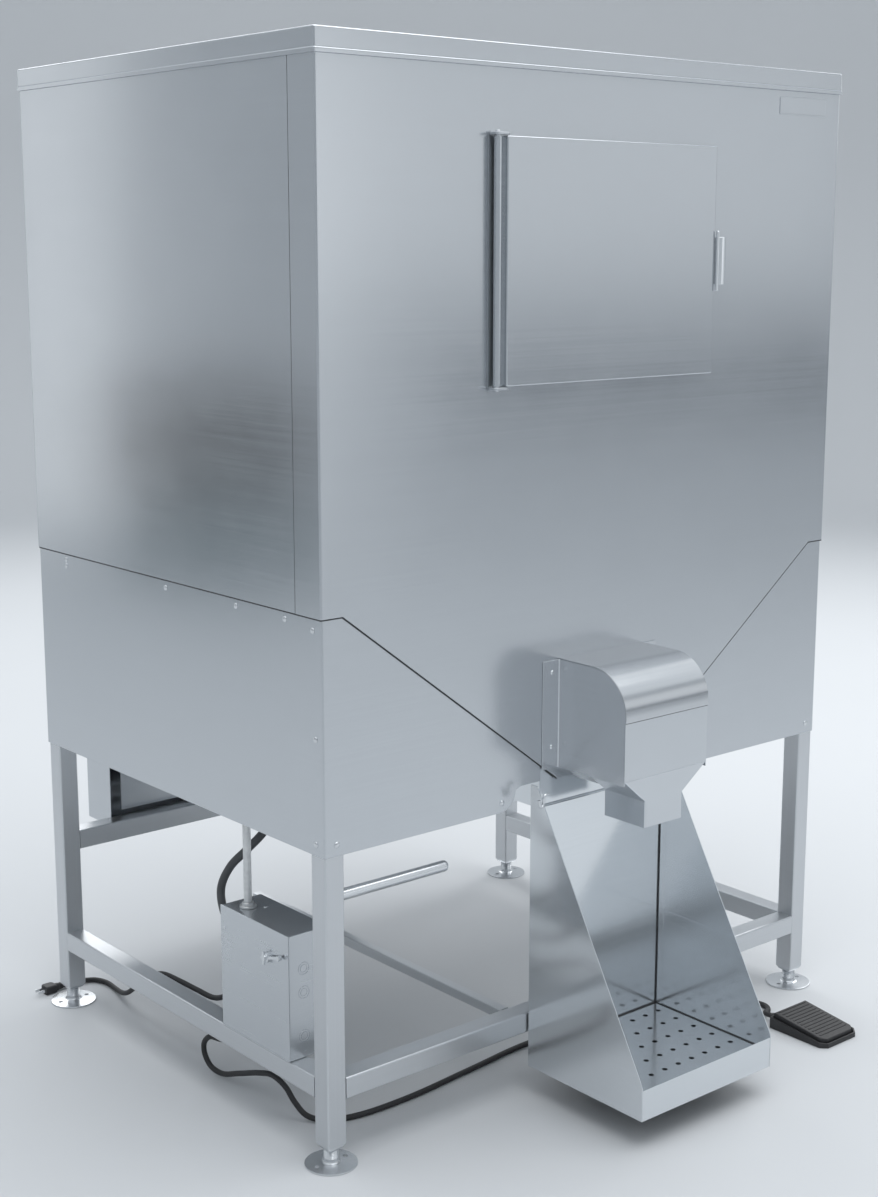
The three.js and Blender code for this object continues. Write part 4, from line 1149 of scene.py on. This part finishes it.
rod_steel = brushed("rod_steel", (0.70, 0.72, 0.74), 0.2, "x", 0.0, 0.02)
show("roll_rod", roll_rod(), rod_steel, stands_for=("bag_roll_rod",))


# ---- Drive ----
# A painted motor on a cast gearbox, under a folded guard at the back.
GUARD_X, GUARD_Y, GUARD_Z = (139.5, 724.0), (913.5, 1005.0), (331.0, 745.0)


def guard():
    """A box open towards the cabinet, with folded corners, in front of a plate with a hole for the drive."""
    y0, y1 = GUARD_Y
    bounds = (GUARD_X, GUARD_Z)
    rim = [(y0, 1.5), (y0, 0.3), (y0 + 0.5, 0.0)]
    fold = [(y1 - 2.6 + 2.6 * math.sin(a), 2.6 - 2.6 * math.cos(a))
            for a in [math.radians(90 * i / 5) for i in range(6)]]
    shell = loft([around("y", y, inset, 3, bounds) for y, inset in [(y1 - 2, 1.5), *rim, *fold]])
    plate = slab(GUARD_X[0] + 24, GUARD_X[1], y0 - SHEET, y0 - 0.1, GUARD_Z[0] + 32, GUARD_Z[1])
    drive_hole = slab(CENTRE - 62, CENTRE + 62, y0 - 10, y0 + 10, AUGER_Z - 82, AUGER_Z + 82)
    fitting = loft([round_ring("y", y, 430, 600, r, 6) for y, r in ((y0 - 13.5, 11.5), (y0 - 1, 11.5))])
    return merged(shell, cut_away(plate, drive_hole), fitting)


show("drive_cover", guard(), sheet_steel, stands_for=("drive_guard",))
dress("gearbox", cast_alloy)
enamel, enamel_shader, enamel_wire = finish("motor_enamel", 0.0, Coat_Weight=0.3, Coat_Roughness=0.2)
orange_peel = enamel_wire.noise((260, 260, 260), 2.0)
grime = enamel_wire.noise((11, 11, 11), 4.0)
feed(enamel_shader, enamel_wire,
     Base_Color=enamel_wire.between(grime, (0.028, 0.05, 0.062), (0.05, 0.08, 0.095)),
     Roughness=grime * 0.2 + 0.3, Normal=enamel_wire.bump(orange_peel, 0.0002))
dress("motor", enamel)


# ---- Control box ----
# A folded box on the left rail, with a door on its left side, punched knockouts, and a galvanised pipe that
# carries the wiring up into the cabinet.
BOX_X, BOX_Y, BOX_Z = (8.5, 90.0), (111.0, 311.0), (152.4, 372.0)


def box_shell():
    (x0, x1), (y0, y1), (z0, z1) = BOX_X, BOX_Y, BOX_Z
    bounds = ((y0 + 1, y1 - 1), (z0, z1))
    fold = [(x1 - 2 + 2 * math.sin(a), 2 - 2 * math.cos(a))
            for a in [math.radians(90 * i / 5) for i in range(6)]]
    section = [(x1 - 2, 1.5), (x0, 1.5), (x0, 0), *fold]
    shell = loft([around("x", x, inset, 2, bounds) for x, inset in section])
    hubs = [turned(68, 285, [(8, z0 - 12), (9, z0 - 11), (9, z0 - 7), (10.5, z0 - 6.9),
                             (10.5, z0 + 0.2)], 24)]
    for z, radius in ((196, 9), (300, 11)):
        hubs.append(loft([round_ring("y", y, 62, z, r, 24) for y, r in
                          ((y1 - 1.2, radius + 2), (y1 + 3, radius + 2), (y1 + 3.1, radius),
                           (y1 + 12, radius), (y1 + 13, radius - 1))]))
    return merged(shell, *hubs)


def knockout(x, y, z, radius):
    """A punched ring in the box's front end, a hair proud of the sheet."""
    return loft([round_ring("y", y + d, x, z, r, 40) for d, r in
                 ((0.2, radius), (-0.7, radius - 0.4), (-0.7, radius - 1.5), (0.2, radius - 1.9))], loop=True)


box_steel = brushed("box_steel", (0.575, 0.60, 0.625), 0.26, "xy", 0.2)
rings = [knockout(38, BOX_Y[0] + 1, z, radius) for z in (310, 268, 191) for radius in (11.5, 7.5)]
show("box_shell", merged(box_shell(), *rings), box_steel, stands_for=("box_body",))


def box_lid():
    x0 = BOX_X[0]
    bounds = (BOX_Y, (BOX_Z[0] + 0.3, BOX_Z[1] + 1))
    return loft([around("x", x, inset, 1.6, bounds) for x, inset in
                 ((x0 - 0.3, 0.3), (x0 - 0.6, 0), (x0 - 1.7, 0), (x0 - 2.2, 0.3), (x0 - 2.3, 0.8))])


show("box_lid", box_lid(), box_steel, body="box_door", stands_for=("box_door",))


def box_catch():
    """A quarter-turn boss with a wing across it, and a flat arm that rises to a finger knob."""
    x0, y, z = BOX_X[0] - 2.6, 171.0, 320.0
    boss = loft([round_ring("x", x0 - d, y, z, r, 28) for d, r in
                 ((0, 9), (5, 9), (6, 8.2), (6.2, 5.5), (9, 5))])
    wing = loft([ring("x", x0 - d, y - 2.2 + i, y + 2.2 - i, z - 12 + i, z + 12 - i, 2) for d, i in
                 ((5.8, 0.3), (6.1, 0), (8.8, 0), (9.2, 0.5))])
    bar = [(y - 44, z + 10.4), (y - 44, z + 14.6), (y, z + 2.8), (y, z - 2.8)]
    arm = prism("x", bar, x0 - 5.4, x0 - 3)
    knob = loft([round_ring("x", x0 - d, y - 43, z + 12.4, r, 20) for d, r in
                 ((2.6, 4), (8.6, 4.6), (10, 4.2), (10.3, 3))])
    return merged(boss, wing, arm, knob)


show("box_catch", box_catch(), bright_steel, body="box_latch",
     stands_for=("box_latch",))
galvanised, galvanised_shader, galvanised_wire = finish("galvanised_pipe", 0.9)
spangle = galvanised_wire.node("TexVoronoi", {"feature": "F1"}, {
    "Vector": galvanised_wire.node("TexCoord", output="Object"), "Scale": 110.0}, "Distance")
weather = galvanised_wire.noise((22, 22, 8), 3.0)
feed(galvanised_shader, galvanised_wire,
     Base_Color=galvanised_wire.between(spangle * 0.9 + weather * 0.3, (0.56, 0.57, 0.58),
                                        (0.70, 0.71, 0.71)),
     Roughness=weather * 0.2 + 0.3, Normal=galvanised_wire.bump(spangle, 0.00012))


def pipe():
    x, y, z = 36.0, 270.0, BOX_Z[1] + GAP
    return turned(x, y, [(13.9, z), (14.5, z + 0.5), (14.5, z + 3.5), (13.9, z + 4), (10, z + 4.3),
                         (10, z + 8.6), (9.4, z + 9.2), (7, z + 9.5), (7, z + 520), (12, z + 521),
                         (12, z + 540)], 36)


show("wiring_pipe", pipe(), galvanised, stands_for=("conduit_pipe",))


# ---- Foot switch ----
# A black moulded base with a rubber treadle hinged at the front, ribbed across for grip.
PEDAL_TOE, PEDAL_RUN = -232.0, 142.0


def pedal_outline(by):
    """The pedal's plan, drawn in by the given distance."""
    x0, x1, y0, y1, corner = 990.0, 1095.0, -227.0, -95.0, 12.0
    plan = [(x0, y0 + corner), (x0 + corner, y0), (x1 - corner, y0), (x1, y0 + corner), (x1, y1), (x0, y1)]
    middle_x, middle_y = (x0 + x1) / 2, (y0 + y1) / 2
    across, along = 1 - 2 * by / (x1 - x0), 1 - 2 * by / (y1 - y0)
    return [(middle_x + (x - middle_x) * across, middle_y + (y - middle_y) * along) for x, y in plan]


def pedal_level(by, low_front, low_back):
    """The outline at a height that rises from front to back."""
    share = [(y - PEDAL_TOE) / PEDAL_RUN for _, y in pedal_outline(by)]
    return [at(x, y, low_front + (low_back - low_front) * s) for (x, y), s in zip(pedal_outline(by), share)]


base_rings = [pedal_level(*level) for level in
              ((0.6, 0, 0), (0, 0.8, 0.8), (0, 8.2, 23.2), (0.5, 9, 24), (2.5, 9, 24), (3, 8.4, 23.4),
               (3, 3, 3))]
gland = loft([round_ring("y", y, 1014, 13, r, 24) for y, r in ((-95.2, 7.6), (-84, 7), (-81.2, 6.2))])
show("pedal_shell", merged(loft(base_rings), gland), moulded_black,
     stands_for=("pedal_base",), ease=0.5)
tread = loft([pedal_level(*level) for level in
              ((5.6, 7.2, 20.2), (5.6, 13.6, 31.6), (6.6, 14.7, 32.7), (8.2, 15, 33))])
ribs = Grove("tread_ribs")
ribs.size("Rib Size", "NodeSocketVector")
bar = ribs.node("GeometryNodeMeshCube", Size=ribs.given("Rib Size"))
ribs.finish(ribs.node("GeometryNodeInstanceOnPoints", Points=ribs.given("Geometry"), Instance=bar),
            lead_rubber)
rib_places = [at(1042.5, y, 15 + (y - PEDAL_TOE) / PEDAL_RUN * 18 - 0.2) for y in range(-205, -105, 9)]
rib_shape = ribs.grow(points_mesh(rib_places), **{"Rib Size": (0.078, 0.0034, 0.0018)})
show("pedal_tread", merged(tread, rib_shape), lead_rubber, body="pedal_treadle",
     stands_for=("pedal_treadle",), ease=0.4)


# ---- Screws and name plate ----
# Low-domed stainless screws through the skirts, flanges, guard and box, and a blank plate near the lid.
heads = Grove("screw_heads")
heads.size("Head Radius")
heads.size("Head Height")
dome = heads.node("GeometryNodeMeshUVSphere", Segments=20, Rings=10, Radius=heads.given("Head Radius"))
squash = heads.node("ShaderNodeMath", {"operation": "DIVIDE"}, i0=heads.given("Head Height"),
                    i1=heads.given("Head Radius"))
flatten = heads.node("ShaderNodeCombineXYZ", X=1.0, Y=1.0, Z=squash)
low_dome = heads.node("GeometryNodeTransform", Geometry=dome, Scale=flatten)
washer = heads.node("GeometryNodeMeshCylinder", Vertices=24, Radius=heads.given("Head Radius"), Depth=0.0008)
facing = heads.node("GeometryNodeInputNamedAttribute", {"data_type": "FLOAT_VECTOR"}, Name="facing")
both = heads.tree.nodes.new("GeometryNodeJoinGeometry")
for part_socket in (low_dome, washer):
    heads.tree.links.new(part_socket, both.inputs[0])
turn = heads.node("FunctionNodeAlignRotationToVector", {"axis": "Z"}, Vector=facing)
heads.finish(heads.node("GeometryNodeInstanceOnPoints", Points=heads.given("Geometry"),
                        Instance=both.outputs[0], Rotation=turn), bright_steel)

LEFT, RIGHT, FRONT, BACK, UP = (-1, 0, 0), (1, 0, 0), (0, -1, 0), (0, 1, 0), (0, 0, 1)


def screws(name, spots, radius, height, body="cabinet"):
    places = [at(*place) for place, _ in spots]
    shape = heads.grow(points_mesh(places, [way for _, way in spots]),
                       **{"Head Radius": radius / 1000, "Head Height": height / 1000})
    show(name, shape, bright_steel, body=body, smooth=60)


side_rows = [(807, 908), (808, 896.5), (458, 905), (242, 906), (104, 906), (30, 899), (26, 725), (28, 553)]
skirt_spots = []
for mirror_x, way in ((lambda x: x, LEFT), (lambda x: WIDTH - x, RIGHT)):
    skirt_spots += [((mirror_x(SKIRT_IN), y, z), way) for y, z in side_rows]
    skirt_spots += [((mirror_x(x), SKIRT_IN, z), FRONT) for x, z in ((30, 553), (381, 551))]
screws("skirt_screws", skirt_spots, 5.4, 2.3)
flange_x = CENTRE - CHUTE_HALF - 16
chute_spots = [((x, SKIN_IN - GAP - SHEET, z), FRONT)
               for x in (flange_x, WIDTH - flange_x) for z in (763, 631)]
screws("chute_screws", chute_spots, 4.6, 2.4)
guard_spots = [((x, GUARD_Y[1], z), BACK) for x in (160, 430, 703) for z in (352, 724)]
guard_spots += [((x, DEPTH - SKIN_IN, z), BACK) for x in (40, CENTRE, WIDTH - 40) for z in (945, 1350, 1740)]
screws("back_screws", guard_spots, 4.6, 2.2)
screws("box_screws", [((58, 250, BOX_Z[1]), UP)], 3.4, 1.8)
screws("box_lid_screw", [((BOX_X[0] - 2.3, 299, 334), LEFT)], 3.4, 1.8, body="box_door")


def name_plate():
    bounds = ((1044, 1176), (1717, 1749))
    plate = loft([around("y", SKIN_IN + y, inset, 3, bounds) for y, inset in
                  ((0.1, 0), (-0.5, 0), (-0.8, 0.4), (-0.8, 2.2), (-0.5, 2.8))])
    return plate


show("blank_plate", name_plate(), door_steel)
